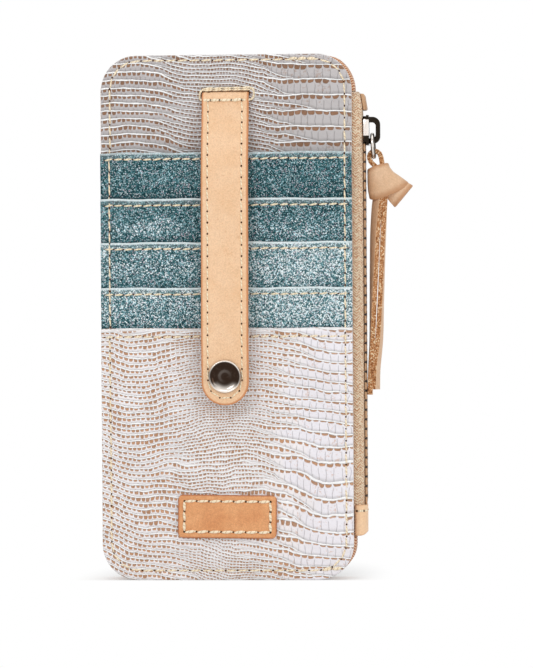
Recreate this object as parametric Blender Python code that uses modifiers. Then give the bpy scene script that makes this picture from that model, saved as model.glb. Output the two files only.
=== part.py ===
"""Card organizer: a tall leather wallet with stacked card slots, a snapped strap and a zip pocket.

The front faces -Y, the zip runs down the +X side, and it stands on Z = 0. Lengths are in metres.
"""

import math

import bmesh
import bpy
import numpy as np
from mathutils import Matrix

MM = 0.001

# Overall size
BODY_WIDTH = 95 * MM
BODY_HEIGHT = 198 * MM
CORNER_RADIUS = 13.5 * MM
FIT = 0.3 * MM
CLOSE_FIT = 0.1 * MM

# Walls and gusset
GUSSET_DEPTH = 12 * MM
GUSSET_WALL = 1 * MM
SEAM_ALLOWANCE = 5.5 * MM
LINING_THICKNESS = 0.6 * MM
LINING_INSET = 0.5 * MM
STIFFENER_THICKNESS = 0.7 * MM
LEATHER_THICKNESS = 1.2 * MM

# Card slots
SLOT_HEIGHTS = (160.9 * MM, 143.5 * MM, 127.1 * MM, 110.0 * MM)
SLOT_DEPTH = 50 * MM
SLOT_SHEET = 0.6 * MM
SLOT_STEM_WIDTH = 87 * MM
SLOT_TUCK = 2.5 * MM
LOWER_POCKET_HEIGHT = 94 * MM
LOWER_POCKET_FLAT = 34 * MM

# Label patch
PATCH_WIDTH = 37.3 * MM
PATCH_HEIGHT = 16.3 * MM
PATCH_CORNER = 2 * MM
PATCH_THICKNESS = 1.3 * MM
PATCH_CENTRE_HEIGHT = 23.9 * MM
PATCH_TILT = math.radians(0.7)

# Strap
STRAP_WIDTH = 17.7 * MM
STRAP_BELOW_TOP = 14.2 * MM
STRAP_SEWN_LENGTH = 3.4 * MM
STRAP_BOTTOM = 66.1 * MM
STRAP_FRONT_PLY = 1.2 * MM
STRAP_BACK_PLY = 1.0 * MM
STRAP_TUCK_LENGTH = 7 * MM
STRAP_TURN = 0.9 * MM
STRAP_STRAIGHT_ABOVE_SNAP = 9.8 * MM
SLIT_HEIGHT = 2.3 * MM

# Snap
SNAP_ABOVE_TIP = 11 * MM
SNAP_CAP_RADIUS = 6.1 * MM
SNAP_CAP_THICKNESS = 1.2 * MM
SNAP_DISH = 0.6 * MM
SNAP_DISH_STEPS = 4
SNAP_SOCKET_RADIUS = 4.8 * MM
SNAP_SOCKET_HEIGHT = 1.5 * MM
SNAP_WEB = 0.3 * MM
SNAP_KNOB_RADIUS = 2.3 * MM
SNAP_KNOB_HEIGHT = 1.2 * MM
SNAP_PLAY = 0.4 * MM
SNAP_FLANGE_RADIUS = 4.5 * MM
SNAP_FLANGE = 0.5 * MM
SNAP_SHANK_RADIUS = 1.4 * MM
SNAP_WASHER = 0.4 * MM

# Zip
ZIP_BOTTOM = 17 * MM
ZIP_BELOW_TOP = 14 * MM
ZIP_REACH = 3.5 * MM
TAPE_THICKNESS = 0.6 * MM
TAPE_EDGE = 2.5 * MM
TOOTH_PITCH = 3.6 * MM
TOOTH_THICKNESS = 2.6 * MM
TOOTH_LEG_LENGTH = 2.9 * MM
TOOTH_OUTER = 3.4 * MM
TOOTH_TIP = 0.9 * MM
TOOTH_CHAMFER = 0.3 * MM
BEAD_WIDTH = 0.9 * MM
STOP_HEIGHT = 6.2 * MM
STOP_THICKNESS = 4 * MM
STOP_CORNER = 0.8 * MM
STOP_CLEARANCE = 1.9 * MM

# End tab
TAB_BELOW_ZIP = 0.6 * MM
TAB_HEIGHT = 11.6 * MM
TAB_THICKNESS = 0.8 * MM
TAB_CORNER = 3 * MM
TAB_FULLNESS = 3

# Slider and ring
SLIDER_BELOW_ZIP_TOP = 9 * MM
SLIDER_LENGTH = 11.4 * MM
SLIDER_PLATE = 1 * MM
SLIDER_CORNER = 1.2 * MM
SLIDER_FLANGE = 0.65 * MM
SLIDER_NECK_WIDTH = 1.8 * MM
SLIDER_NECK_LENGTH = 2.8 * MM
BRIDGE_REACH = 4.2 * MM
BRIDGE_BAR = 1.7 * MM
BRIDGE_WIDTH = 2.6 * MM
BRIDGE_FOOT = 2.7 * MM
RING_RADIUS = 4.25 * MM
RING_WIRE = 0.8 * MM
RING_SIDES = 8
RING_TILT = math.radians(4)

# Leather pull
LOOP_THICKNESS = 1.6 * MM
LOOP_RADIUS = 1.4 * MM
LOOP_WIDTH = 3 * MM
LOOP_FOOT = 7.1 * MM
KNOT_DEPTH = 8.4 * MM
KNOT_BEVEL = 1.2 * MM
TAIL_THICKNESS = 1.9 * MM
TAIL_WIDTH = 5 * MM

# Outlines of the pull, in millimetres right of and above the ring's lower wire
LOOP_CENTRE = (0.3, 0.2)
KNOT_BAND = (
    (-2.3, -4.8), (5.5, -2.4), (7.6, -5.6), (10.5, -7.4), (13.4, -8.8), (10.8, -11.4),
    (7.9, -13.7), (6.0, -14.7), (0.2, -16.0), (-1.2, -14.8), (-1.2, -12.4), (-1.8, -8.2),
)
KNOT_FOLD = ((3.0, -9.0), (12.6, -9.4), (14.9, -11.2), (11.8, -15.0), (7.9, -19.5), (6.4, -18.4))
LEFT_TAIL = ((0.6, -12.0), (-0.1, -25.0), (-0.6, -56.0), (-1.1, -70.0), (-1.3, -83.0), (-1.3, -90.0))
RIGHT_TAIL = ((3.6, -12.0), (3.4, -25.0), (2.3, -56.0), (1.4, -70.0), (1.1, -83.0), (1.1, -88.0))

# Heights that follow from the body's height, the strap's tip and the end tab
STRAP_TOP = BODY_HEIGHT - STRAP_BELOW_TOP
STRAP_HINGE_HEIGHT = STRAP_TOP - STRAP_SEWN_LENGTH
SNAP_HEIGHT = STRAP_BOTTOM + SNAP_ABOVE_TIP
ZIP_TOP = BODY_HEIGHT - ZIP_BELOW_TOP
SLIDER_TOP = ZIP_TOP - SLIDER_BELOW_ZIP_TOP
TAB_BOTTOM = ZIP_BOTTOM - TAB_BELOW_ZIP
TAB_TOP = TAB_BOTTOM + TAB_HEIGHT
CHAIN_BOTTOM = TAB_TOP + 2 * CLOSE_FIT

# Distances out from the middle plane, the same at the front and the back
HALF_GUSSET = GUSSET_DEPTH / 2
LINING_IN = HALF_GUSSET + FIT
LINING_OUT = LINING_IN + LINING_THICKNESS
STIFFENER_IN = LINING_OUT + FIT
STIFFENER_OUT = STIFFENER_IN + STIFFENER_THICKNESS
PANEL_IN = STIFFENER_OUT + FIT
PANEL_OUT = PANEL_IN + LEATHER_THICKNESS
POCKET_IN = PANEL_OUT + FIT

HALF_WIDTH = BODY_WIDTH / 2
STRAP_RADIUS = STRAP_WIDTH / 2
STRAP_THICKNESS = STRAP_BACK_PLY + FIT + STRAP_FRONT_PLY
CHAIN_X = HALF_WIDTH + ZIP_REACH
SLOT_MARGIN = 0.05 * MM

# How far the slot sheets lean, so that each clears the one behind it
SLOT_STEPS = [high - low for high, low in zip(SLOT_HEIGHTS, SLOT_HEIGHTS[1:])]
LEAN = (SLOT_SHEET + FIT + SLOT_MARGIN) / min(SLOT_STEPS)
SLOT_BAND = max(SLOT_STEPS) + SLOT_TUCK
LAST_SLOT_BOTTOM = SLOT_HEIGHTS[-1] - SLOT_DEPTH
SLOT_FRONT_AT_TOP = POCKET_IN + SLOT_SHEET + SLOT_DEPTH * LEAN

# The lower pocket lies flat below and then follows the lean of the last slot, clear of the snap's washer
POCKET_ROOM = SNAP_WASHER + 2 * FIT + 2 * SLOT_MARGIN
POCKET_TOP_IN = (
    POCKET_IN + SLOT_SHEET + (LOWER_POCKET_HEIGHT - LAST_SLOT_BOTTOM) * LEAN + POCKET_ROOM
)
POCKET_SLOPE = (POCKET_TOP_IN - POCKET_IN) / (LOWER_POCKET_HEIGHT - LOWER_POCKET_FLAT)

# Heights of the snap's pieces along its axis, from the lower pocket's front face
STUD_BASE = FIT
KNOB_BASE = STUD_BASE + SNAP_FLANGE
KNOB_TOP = KNOB_BASE + SNAP_KNOB_HEIGHT
SOCKET_BASE = KNOB_BASE + FIT
SOCKET_TOP = SOCKET_BASE + SNAP_SOCKET_HEIGHT
STRAP_STANDOFF = SOCKET_TOP + FIT
CAP_BASE = STRAP_STANDOFF + STRAP_THICKNESS + FIT
CAP_TOP = CAP_BASE + SNAP_CAP_THICKNESS
SNAP_HOLE_RADIUS = SNAP_SHANK_RADIUS + SNAP_PLAY

# Slider, measured from the chain
TEETH_OUT = CHAIN_X + TOOTH_THICKNESS / 2
TEETH_IN = CHAIN_X - TOOTH_THICKNESS / 2
SLIDER_OUT = TEETH_OUT + FIT + SLIDER_PLATE
SLIDER_BOTTOM = SLIDER_TOP - SLIDER_LENGTH
NECK_BOTTOM = SLIDER_TOP - SLIDER_NECK_LENGTH
BRIDGE_HOLE_OUT = SLIDER_OUT + BRIDGE_REACH - BRIDGE_BAR
BRIDGE_HOLE_LOW = SLIDER_BOTTOM + BRIDGE_FOOT
RING_TOP_X = SLIDER_OUT + FIT + RING_WIRE + CLOSE_FIT
RING_TOP_Z = BRIDGE_HOLE_LOW + 2 * FIT + RING_WIRE
RING_LOW_X = RING_TOP_X + 2 * RING_RADIUS * math.sin(RING_TILT)
RING_LOW_Z = RING_TOP_Z - 2 * RING_RADIUS * math.cos(RING_TILT)

ARC_STEPS = 8
ROUND_STEPS = 32


def clear_scene():
    for obj in list(bpy.data.objects):
        bpy.data.objects.remove(obj, do_unlink=True)


def new_collection(name):
    collection = bpy.data.collections.new(name)
    bpy.context.scene.collection.children.link(collection)
    return collection


def finish_material(name, colour, roughness, metallic=0.0):
    made = bpy.data.materials.new(name)
    made.use_nodes = True
    shader = made.node_tree.nodes["Principled BSDF"]
    shader.inputs["Base Color"].default_value = (*colour, 1)
    shader.inputs["Roughness"].default_value = roughness
    shader.inputs["Metallic"].default_value = metallic
    made.diffuse_color = (*colour, 1)
    return made


def add_piece(name, mesh, material):
    obj = bpy.data.objects.new(name, mesh)
    obj.data.materials.append(material)
    PARTS.objects.link(obj)
    return obj


def make_cutter(obj):
    obj.hide_render = True
    obj.display_type = "WIRE"
    PARTS.objects.unlink(obj)
    CUTTERS.objects.link(obj)
    return obj


def boolean(target, other, operation):
    modifier = target.modifiers.new(f"{operation.lower()} {other.name}", "BOOLEAN")
    modifier.object = make_cutter(other)
    modifier.operation = operation
    modifier.solver = "EXACT"


# Outlines, as lists of points
def arc(centre, radius, start, end, steps=ARC_STEPS):
    angles = np.radians(np.linspace(start, end, steps + 1))
    return [(centre[0] + radius * math.cos(a), centre[1] + radius * math.sin(a)) for a in angles]


def rounded_rectangle(left, right, bottom, top, radii):
    """Corner radii run bottom left, bottom right, top right, top left."""
    corners = ((left, bottom), (right, bottom), (right, top), (left, top))
    inward = ((1, 1), (-1, 1), (-1, -1), (1, -1))
    points = []
    for index, (corner, side, radius) in enumerate(zip(corners, inward, radii)):
        centre = (corner[0] + side[0] * radius, corner[1] + side[1] * radius)
        start = 180 + 90 * index
        points += arc(centre, radius, start, start + 90) if radius else [corner]
    return points


def body_outline(inset=0.0):
    half = HALF_WIDTH - inset
    return rounded_rectangle(-half, half, inset, BODY_HEIGHT - inset, [CORNER_RADIUS - inset] * 4)


def circle(centre, radius):
    return arc(centre, radius, 0, 360 * (1 - 1 / ROUND_STEPS), ROUND_STEPS - 1)


def ribbon(path, low, high):
    """The outline of a strip that lies between two distances to the left of a path."""
    path = np.array(path)
    step = np.gradient(path, axis=0)
    step /= np.linalg.norm(step, axis=1, keepdims=True)
    left = np.column_stack([-step[:, 1], step[:, 0]])
    return [tuple(p) for p in path + high * left] + [tuple(p) for p in (path + low * left)[::-1]]


def smooth_path(points, steps=5):
    """A smooth line through the points: a cubic in each span, with slopes taken along the chords."""
    points = np.array(points)
    along = np.concatenate([[0], np.cumsum(np.linalg.norm(np.diff(points, axis=0), axis=1))])
    slopes = np.gradient(points, along, axis=0)
    path = []
    for a, b, slope_a, slope_b, span in zip(
        points, points[1:], slopes, slopes[1:], np.diff(along)
    ):
        for t in np.arange(steps) / steps:
            blend = t * t * (3 - 2 * t)
            path.append(
                a + (b - a) * blend
                + span * t * (1 - t) * ((1 - t) * slope_a - t * slope_b)
            )
    return path + [points[-1]]


# Solids
PLANES = {
    "front": Matrix(((1, 0, 0), (0, 0, -1), (0, 1, 0))),
    "side": Matrix(((0, 0, 1), (1, 0, 0), (0, 1, 0))),
    "top": Matrix.Identity(3),
}


def flat_solid(name, outlines, low, high, material, plane="front"):
    """Outlines, holes after the first, filled and given a thickness from low to high across a plane.

    The front plane holds X and Z points, the side plane Y and Z points, and the top plane X and Y points.
    """
    curve = bpy.data.curves.new(name, "CURVE")
    curve.dimensions = "2D"
    curve.fill_mode = "BOTH"
    curve.extrude = (high - low) / 2
    for outline in outlines:
        spline = curve.splines.new("POLY")
        spline.points.add(len(outline) - 1)
        for point, (u, v) in zip(spline.points, outline):
            point.co = (u, v, 0, 1)
        spline.use_cyclic_u = True
    guide = bpy.data.objects.new(name, curve)
    PARTS.objects.link(guide)
    evaluated = guide.evaluated_get(bpy.context.evaluated_depsgraph_get())
    mesh = bpy.data.meshes.new_from_object(evaluated)
    bpy.data.objects.remove(guide, do_unlink=True)
    bpy.data.curves.remove(curve)
    weld(mesh)
    obj = add_piece(name, mesh, material)
    obj.rotation_euler = PLANES[plane].to_euler()
    obj.location = [abs(across) * (low + high) / 2 for across in PLANES[plane].col[2]]
    return obj


def weld(mesh):
    work = bmesh.new()
    work.from_mesh(mesh)
    bmesh.ops.remove_doubles(work, verts=work.verts, dist=1e-7)
    bmesh.ops.recalc_face_normals(work, faces=work.faces)
    work.to_mesh(mesh)
    work.free()


def box(name, low, high, material):
    work = bmesh.new()
    bmesh.ops.create_cube(work, size=1)
    size = [b - a for a, b in zip(low, high)]
    bmesh.ops.scale(work, vec=size, verts=work.verts)
    mesh = bpy.data.meshes.new(name)
    work.to_mesh(mesh)
    work.free()
    obj = add_piece(name, mesh, material)
    obj.location = [(a + b) / 2 for a, b in zip(low, high)]
    return obj


def turned(name, profile, material, closed=False):
    """A profile of radius and height points, run down the outer side, turned about local Z."""
    mesh = bpy.data.meshes.new(name)
    edges = [(i, i + 1) for i in range(len(profile) - 1)]
    if closed:
        edges.append((len(profile) - 1, 0))
    mesh.from_pydata([(r, 0, h) for r, h in profile], edges, [])
    obj = add_piece(name, mesh, material)
    screw = obj.modifiers.new("turn", "SCREW")
    screw.steps = screw.render_steps = ROUND_STEPS
    screw.use_merge_vertices = True
    screw.merge_threshold = 1e-6
    screw.use_smooth_shade = True
    return obj


def bevel(obj, width, segments=1):
    modifier = obj.modifiers.new("softened edges", "BEVEL")
    modifier.width = width
    modifier.segments = segments
    modifier.limit_method = "ANGLE"
    modifier.angle_limit = math.radians(50)


def new_pivot(name, location, parent=None):
    empty = bpy.data.objects.new(name, None)
    empty.empty_display_size = 5 * MM
    PARTS.objects.link(empty)
    empty.location = location
    if parent:
        hang(empty, parent)
    return empty


def hang(obj, parent):
    """Parents an object where it stands. Pivots are never turned, so their place is enough."""
    bpy.context.view_layer.update()
    obj.parent = parent
    obj.matrix_parent_inverse = parent.matrix_world.inverted()


# Front and back walls
def make_wall(side, leather, board, cloth):
    """Side is -1 for the front and 1 for the back."""
    name = "front" if side < 0 else "back"

    def layer(part, outlines, inner, outer, material):
        low, high = sorted((side * inner, side * outer))
        return flat_solid(f"{name}_{part}", outlines, low, high, material)

    seam = SEAM_ALLOWANCE + FIT
    outlines = [body_outline()]
    if side < 0:
        outlines.append(slit_outline())
    layer("panel", outlines, PANEL_IN, PANEL_OUT, leather)
    stiffener = layer("stiffener", [body_outline(seam)], STIFFENER_IN, STIFFENER_OUT, board)
    layer("lining", [body_outline(LINING_INSET)], LINING_IN, LINING_OUT, cloth)
    if side < 0:
        half = STRAP_RADIUS + 2 * FIT
        notch = box(
            "strap_notch",
            (-half, -STIFFENER_OUT - FIT, slit_bottom() - FIT),
            (half, -STIFFENER_IN + FIT, BODY_HEIGHT),
            board,
        )
        boolean(stiffener, notch, "DIFFERENCE")


def slit_bottom():
    return STRAP_TOP - STRAP_TURN - FIT


def slit_outline():
    half = STRAP_RADIUS + FIT
    low = slit_bottom()
    return [(-half, low), (half, low), (half, low + SLIT_HEIGHT), (-half, low + SLIT_HEIGHT)]


def make_gusset(leather):
    """A strip with a flange turned in at each side, cut away where the zip runs."""
    gusset = flat_solid("gusset", [body_outline()], -HALF_GUSSET, HALF_GUSSET, leather)
    channel = HALF_GUSSET - GUSSET_WALL
    hollow = flat_solid("gusset_hollow", [body_outline(GUSSET_WALL)], -channel, channel, leather)
    boolean(gusset, hollow, "DIFFERENCE")
    mouth = flat_solid(
        "gusset_mouth", [body_outline(SEAM_ALLOWANCE)], -GUSSET_DEPTH, GUSSET_DEPTH, leather
    )
    boolean(gusset, mouth, "DIFFERENCE")
    window = box(
        "zip_window",
        (HALF_WIDTH - SEAM_ALLOWANCE - FIT, -GUSSET_DEPTH, ZIP_BOTTOM),
        (HALF_WIDTH + GUSSET_DEPTH, GUSSET_DEPTH, ZIP_TOP),
        leather,
    )
    boolean(gusset, window, "DIFFERENCE")


# Card slots and lower pocket
def make_card_pockets(glitter):
    """T-shaped sheets: the band shows, and the stem goes down behind the lower slots."""
    lean = math.atan(LEAN)
    length = SLOT_DEPTH / math.cos(lean)
    shoulder = length - SLOT_BAND
    half_stem = SLOT_STEM_WIDTH / 2
    outline = [
        (-half_stem, 0), (half_stem, 0), (half_stem, shoulder), (HALF_WIDTH, shoulder),
        (HALF_WIDTH, length), (-HALF_WIDTH, length), (-HALF_WIDTH, shoulder), (-half_stem, shoulder),
    ]
    for index, height in enumerate(SLOT_HEIGHTS):
        sheet = flat_solid(f"card_pocket_{index + 1}", [outline], 0, SLOT_SHEET, glitter)
        sheet.rotation_euler.x += lean
        sheet.location = (0, -POCKET_IN - SLOT_SHEET / 2, height - SLOT_DEPTH)


def bent_sheet(name, path, low, high, outlines, material):
    """A strip along a path of distances out and heights, cut to its outline as seen from the front.

    The path runs upwards and low and high are distances out from it.
    """
    side = ribbon([(-out, height) for out, height in path], low, high)
    width = 2 * max(abs(x) for x, _ in outlines[0])
    sheet = flat_solid(name, [side], -width, width, material, "side")
    reach = 2 * max(out for out, _ in path) + high
    boolean(sheet, flat_solid(f"{name}_outline", outlines, -reach, 0, material), "INTERSECT")
    return sheet


def pocket_path():
    """The lower pocket's inner face, running on a little past both ends."""
    below = (POCKET_IN, -LEATHER_THICKNESS)
    above = (POCKET_TOP_IN + POCKET_SLOPE * LEATHER_THICKNESS, LOWER_POCKET_HEIGHT + LEATHER_THICKNESS)
    return [below, (POCKET_IN, LOWER_POCKET_FLAT), above]


def pocket_front(height):
    """How far out the lower pocket's front face stands at a height on its sloping part."""
    rise = (height - LOWER_POCKET_FLAT) * POCKET_SLOPE
    return POCKET_IN + rise + LEATHER_THICKNESS / math.cos(math.atan(POCKET_SLOPE))


def make_lower_pocket(leather):
    outline = rounded_rectangle(
        -HALF_WIDTH, HALF_WIDTH, 0, LOWER_POCKET_HEIGHT, (CORNER_RADIUS, CORNER_RADIUS, 0, 0)
    )
    hole = circle((0, SNAP_HEIGHT), SNAP_HOLE_RADIUS)
    bent_sheet("lower_pocket", pocket_path(), 0, LEATHER_THICKNESS, [outline, hole], leather)


def make_patch(leather):
    half = (PATCH_WIDTH / 2, PATCH_HEIGHT / 2)
    outline = rounded_rectangle(-half[0], half[0], -half[1], half[1], [PATCH_CORNER] * 4)
    patch = flat_solid("label_patch", [outline], 0, PATCH_THICKNESS, leather)
    out = POCKET_IN + LEATHER_THICKNESS + FIT + PATCH_THICKNESS / 2
    patch.location = (0, -out, PATCH_CENTRE_HEIGHT)
    patch.rotation_euler.rotate_axis("Z", -PATCH_TILT)


# Strap
def strap_path():
    """The strap's inner face, from its tip up over the slots to its sewn end."""
    def over_snap(height):
        return (pocket_front(height) + STRAP_STANDOFF, height)

    straight = (
        STRAP_BOTTOM - SNAP_CAP_RADIUS, STRAP_BOTTOM, SNAP_HEIGHT, SNAP_HEIGHT + SNAP_CAP_RADIUS,
        SNAP_HEIGHT + STRAP_STRAIGHT_ABOVE_SNAP,
    )
    points = [over_snap(height) for height in straight]
    top_slot = (SLOT_FRONT_AT_TOP + 2 * FIT, SLOT_HEIGHTS[0])
    points.append(((points[-1][0] + top_slot[0]) / 2 + FIT, (points[-1][1] + top_slot[1]) / 2))
    points.append(top_slot)
    sewn = (POCKET_IN, STRAP_HINGE_HEIGHT)
    points.append(((top_slot[0] + sewn[0]) / 2 - FIT, (top_slot[1] + sewn[1]) / 2 + FIT))
    points.append(sewn)
    points.append((POCKET_IN - FIT, STRAP_TOP))
    return smooth_path(points)


def make_strap(leather, pivot):
    path = strap_path()
    top = STRAP_HINGE_HEIGHT - FIT
    tip = arc((0, STRAP_BOTTOM + STRAP_RADIUS), STRAP_RADIUS, 180, 360, 2 * ARC_STEPS)
    outline = tip + [(STRAP_RADIUS, top), (-STRAP_RADIUS, top)]
    drop = (STRAP_STANDOFF + STRAP_THICKNESS / 2) * math.sin(math.atan(POCKET_SLOPE))
    hole = circle((0, SNAP_HEIGHT - drop), SNAP_HOLE_RADIUS)
    front = STRAP_BACK_PLY + FIT
    plies = (("strap_back_ply", 0, STRAP_BACK_PLY), ("strap_front_ply", front, STRAP_THICKNESS))
    for name, low, high in plies:
        hang(bent_sheet(name, path, low, high, [outline, hole], leather), pivot)


def make_strap_root(leather):
    """The sewn end: it lies on the wall, turns in through the slit and runs up behind the wall."""
    inner = -POCKET_IN
    outer = inner - STRAP_THICKNESS
    low = STRAP_HINGE_HEIGHT + FIT
    turn = STRAP_TOP - STRAP_TURN
    tuck_top = STRAP_TOP + STRAP_TUCK_LENGTH
    section = [
        (inner, low), (inner, turn), (-STIFFENER_IN, turn), (-STIFFENER_IN, tuck_top),
        (-STIFFENER_OUT, tuck_top), (-STIFFENER_OUT, STRAP_TOP), (outer + STRAP_TURN, STRAP_TOP),
        (outer, turn), (outer, low),
    ]
    flat_solid("strap_root", [section], -STRAP_RADIUS, STRAP_RADIUS, leather, "side")


# Snap
def make_snap(metal, strap_pivot):
    seat = (0, -pocket_front(SNAP_HEIGHT), SNAP_HEIGHT)
    lean = math.radians(90) + math.atan(POCKET_SLOPE)
    back = -LEATHER_THICKNESS - FIT
    shank = SNAP_SHANK_RADIUS
    bore = shank + FIT
    collar = SNAP_KNOB_RADIUS - CLOSE_FIT
    post = [(0, KNOB_BASE), (shank, KNOB_BASE), (shank, back), (SNAP_FLANGE_RADIUS, back),
            (SNAP_FLANGE_RADIUS, back - SNAP_WASHER), (0, back - SNAP_WASHER)]
    bore_top = KNOB_BASE + FIT
    stud = [(0, KNOB_TOP), (collar, KNOB_TOP), (SNAP_KNOB_RADIUS, KNOB_TOP - FIT), (collar, KNOB_BASE),
            (SNAP_FLANGE_RADIUS, KNOB_BASE), (SNAP_FLANGE_RADIUS, STUD_BASE), (bore, STUD_BASE),
            (bore, bore_top), (0, bore_top)]
    mouth = SNAP_KNOB_RADIUS + SNAP_PLAY
    web = SOCKET_TOP - SNAP_WEB
    socket = [(bore, SOCKET_TOP), (SNAP_SOCKET_RADIUS - FIT, SOCKET_TOP),
              (SNAP_SOCKET_RADIUS, SOCKET_TOP - FIT), (SNAP_SOCKET_RADIUS, SOCKET_BASE),
              (mouth, SOCKET_BASE), (mouth, web), (bore, web)]
    rim = SNAP_CAP_RADIUS
    lip = rim - 2 * FIT
    cap = [(t * lip, CAP_TOP - SNAP_DISH * (1 - t * t)) for t in np.linspace(0, 1, SNAP_DISH_STEPS + 1)]
    cap += [(rim - CLOSE_FIT, CAP_TOP - FIT), (rim, CAP_TOP - 2 * FIT), (rim, CAP_BASE),
            (shank, CAP_BASE), (shank, web + CLOSE_FIT), (0, web + CLOSE_FIT)]
    for name, profile, pivot in (
        ("snap_post", post, None), ("snap_stud", stud, None),
        ("snap_socket", socket, strap_pivot), ("snap_cap", cap, strap_pivot),
    ):
        piece = turned(name, profile, metal, closed=name == "snap_socket")
        piece.location = seat
        piece.rotation_euler.x = lean
        if pivot:
            hang(piece, pivot)


# Zip
def tape_path(side):
    """From the seam out past the wall's edge, then round to the chain."""
    flat = HALF_GUSSET - TAPE_THICKNESS / 2
    depth = flat - TAPE_EDGE
    start = (HALF_WIDTH - SEAM_ALLOWANCE, side * flat)
    bend = [
        (HALF_WIDTH + ZIP_REACH * math.sin(a), side * (TAPE_EDGE + depth * math.cos(a)))
        for a in np.radians(np.linspace(0, 90, ARC_STEPS + 1))
    ]
    return [start] + bend


def make_tape(name, side, cloth):
    half = TAPE_THICKNESS / 2
    outline = ribbon(tape_path(side), -half, half)
    flat_solid(name, [outline], ZIP_BOTTOM + FIT, ZIP_TOP - FIT, cloth, "top")


def tape_slot(name, side, low, high, material):
    """The space that a tooth's or a stop's legs leave for the tape."""
    half = TAPE_THICKNESS / 2 + FIT
    inner, outer = sorted((side * (TAPE_EDGE - FIT), side * (TOOTH_OUTER + 2 * FIT)))
    return box(name, (CHAIN_X - half, inner, low), (CHAIN_X + half, outer, high), material)


def make_teeth(name, side, first, last, plastic):
    """One comb: heads that reach past the middle, legs over the tape, and a bead that joins the teeth."""
    leg = TOOTH_LEG_LENGTH / 2
    head = (TOOTH_PITCH / 2 - FIT) / 2
    bead_out = TAPE_EDGE - FIT - TOOTH_CHAMFER / 2
    bead_in = bead_out - BEAD_WIDTH
    cut = TOOTH_CHAMFER
    heads = [(bead_in, head), (cut - TOOTH_TIP, head), (-TOOTH_TIP, head - cut)]
    legs = [(bead_out, leg), (TOOTH_OUTER - cut, leg), (TOOTH_OUTER, leg - cut)]
    count = int((last - first - TOOTH_LEG_LENGTH) / TOOTH_PITCH) + 1
    centres = [first + leg + TOOTH_PITCH * index for index in range(count)]
    outline = []
    for centre in centres:
        outline += [(side * y, centre - z) for y, z in heads]
        outline += [(side * y, centre + z) for y, z in reversed(heads)]
    for centre in reversed(centres):
        outline += [(side * y, centre + z) for y, z in legs]
        outline += [(side * y, centre - z) for y, z in reversed(legs)]
    half = TOOTH_THICKNESS / 2
    teeth = flat_solid(name, [outline], CHAIN_X - half, CHAIN_X + half, plastic, "side")
    slot = tape_slot(f"{name}_slot", side, first - TOOTH_PITCH, last + TOOTH_PITCH, plastic)
    boolean(teeth, slot, "DIFFERENCE")


def make_stops(plastic):
    half = STOP_THICKNESS / 2
    low = SLIDER_TOP + STOP_CLEARANCE
    outline = rounded_rectangle(
        CHAIN_X - half, CHAIN_X + half, low, low + STOP_HEIGHT, [STOP_CORNER] * 4
    )
    for name, side in (("front", -1), ("back", 1)):
        inner, outer = sorted((side * FIT, side * TOOTH_OUTER))
        stop = flat_solid(f"top_stop_{name}", [outline], inner, outer, plastic)
        slot = tape_slot(f"top_stop_{name}_slot", side, low - STOP_HEIGHT, BODY_HEIGHT, plastic)
        boolean(stop, slot, "DIFFERENCE")
    top = CHAIN_BOTTOM - 2 * FIT
    width = TAPE_EDGE - FIT
    outline = rounded_rectangle(
        TEETH_IN, CHAIN_X + FIT, top - STOP_HEIGHT, top, [STOP_CORNER] * 4
    )
    flat_solid("bottom_stop", [outline], -width, width, plastic)


def make_end_tab(leather):
    """A band folded round the closed end of the zip, its lower outer corner rounded."""
    centre = HALF_WIDTH + FIT
    half_depth = LINING_IN + CLOSE_FIT + TAB_THICKNESS / 2
    reach = CHAIN_X + TAPE_THICKNESS / 2 + FIT + TAB_THICKNESS / 2 - centre
    power = 2 / TAB_FULLNESS
    path = [
        (centre + reach * math.cos(a) ** power, half_depth * math.copysign(abs(math.sin(a)) ** power, a))
        for a in np.radians(np.linspace(-90, 90, 4 * ARC_STEPS + 1))
    ]
    half = TAB_THICKNESS / 2
    tab = flat_solid("zip_end_tab", [ribbon(path, -half, half)], TAB_BOTTOM, TAB_TOP, leather, "top")
    outer = centre + reach + half
    outline = rounded_rectangle(0, outer + FIT, TAB_BOTTOM, TAB_TOP + FIT, (0, TAB_CORNER, 0, 0))
    corner = flat_solid("tab_corner", [outline], -GUSSET_DEPTH, GUSSET_DEPTH, leather)
    boolean(tab, corner, "INTERSECT")


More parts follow.
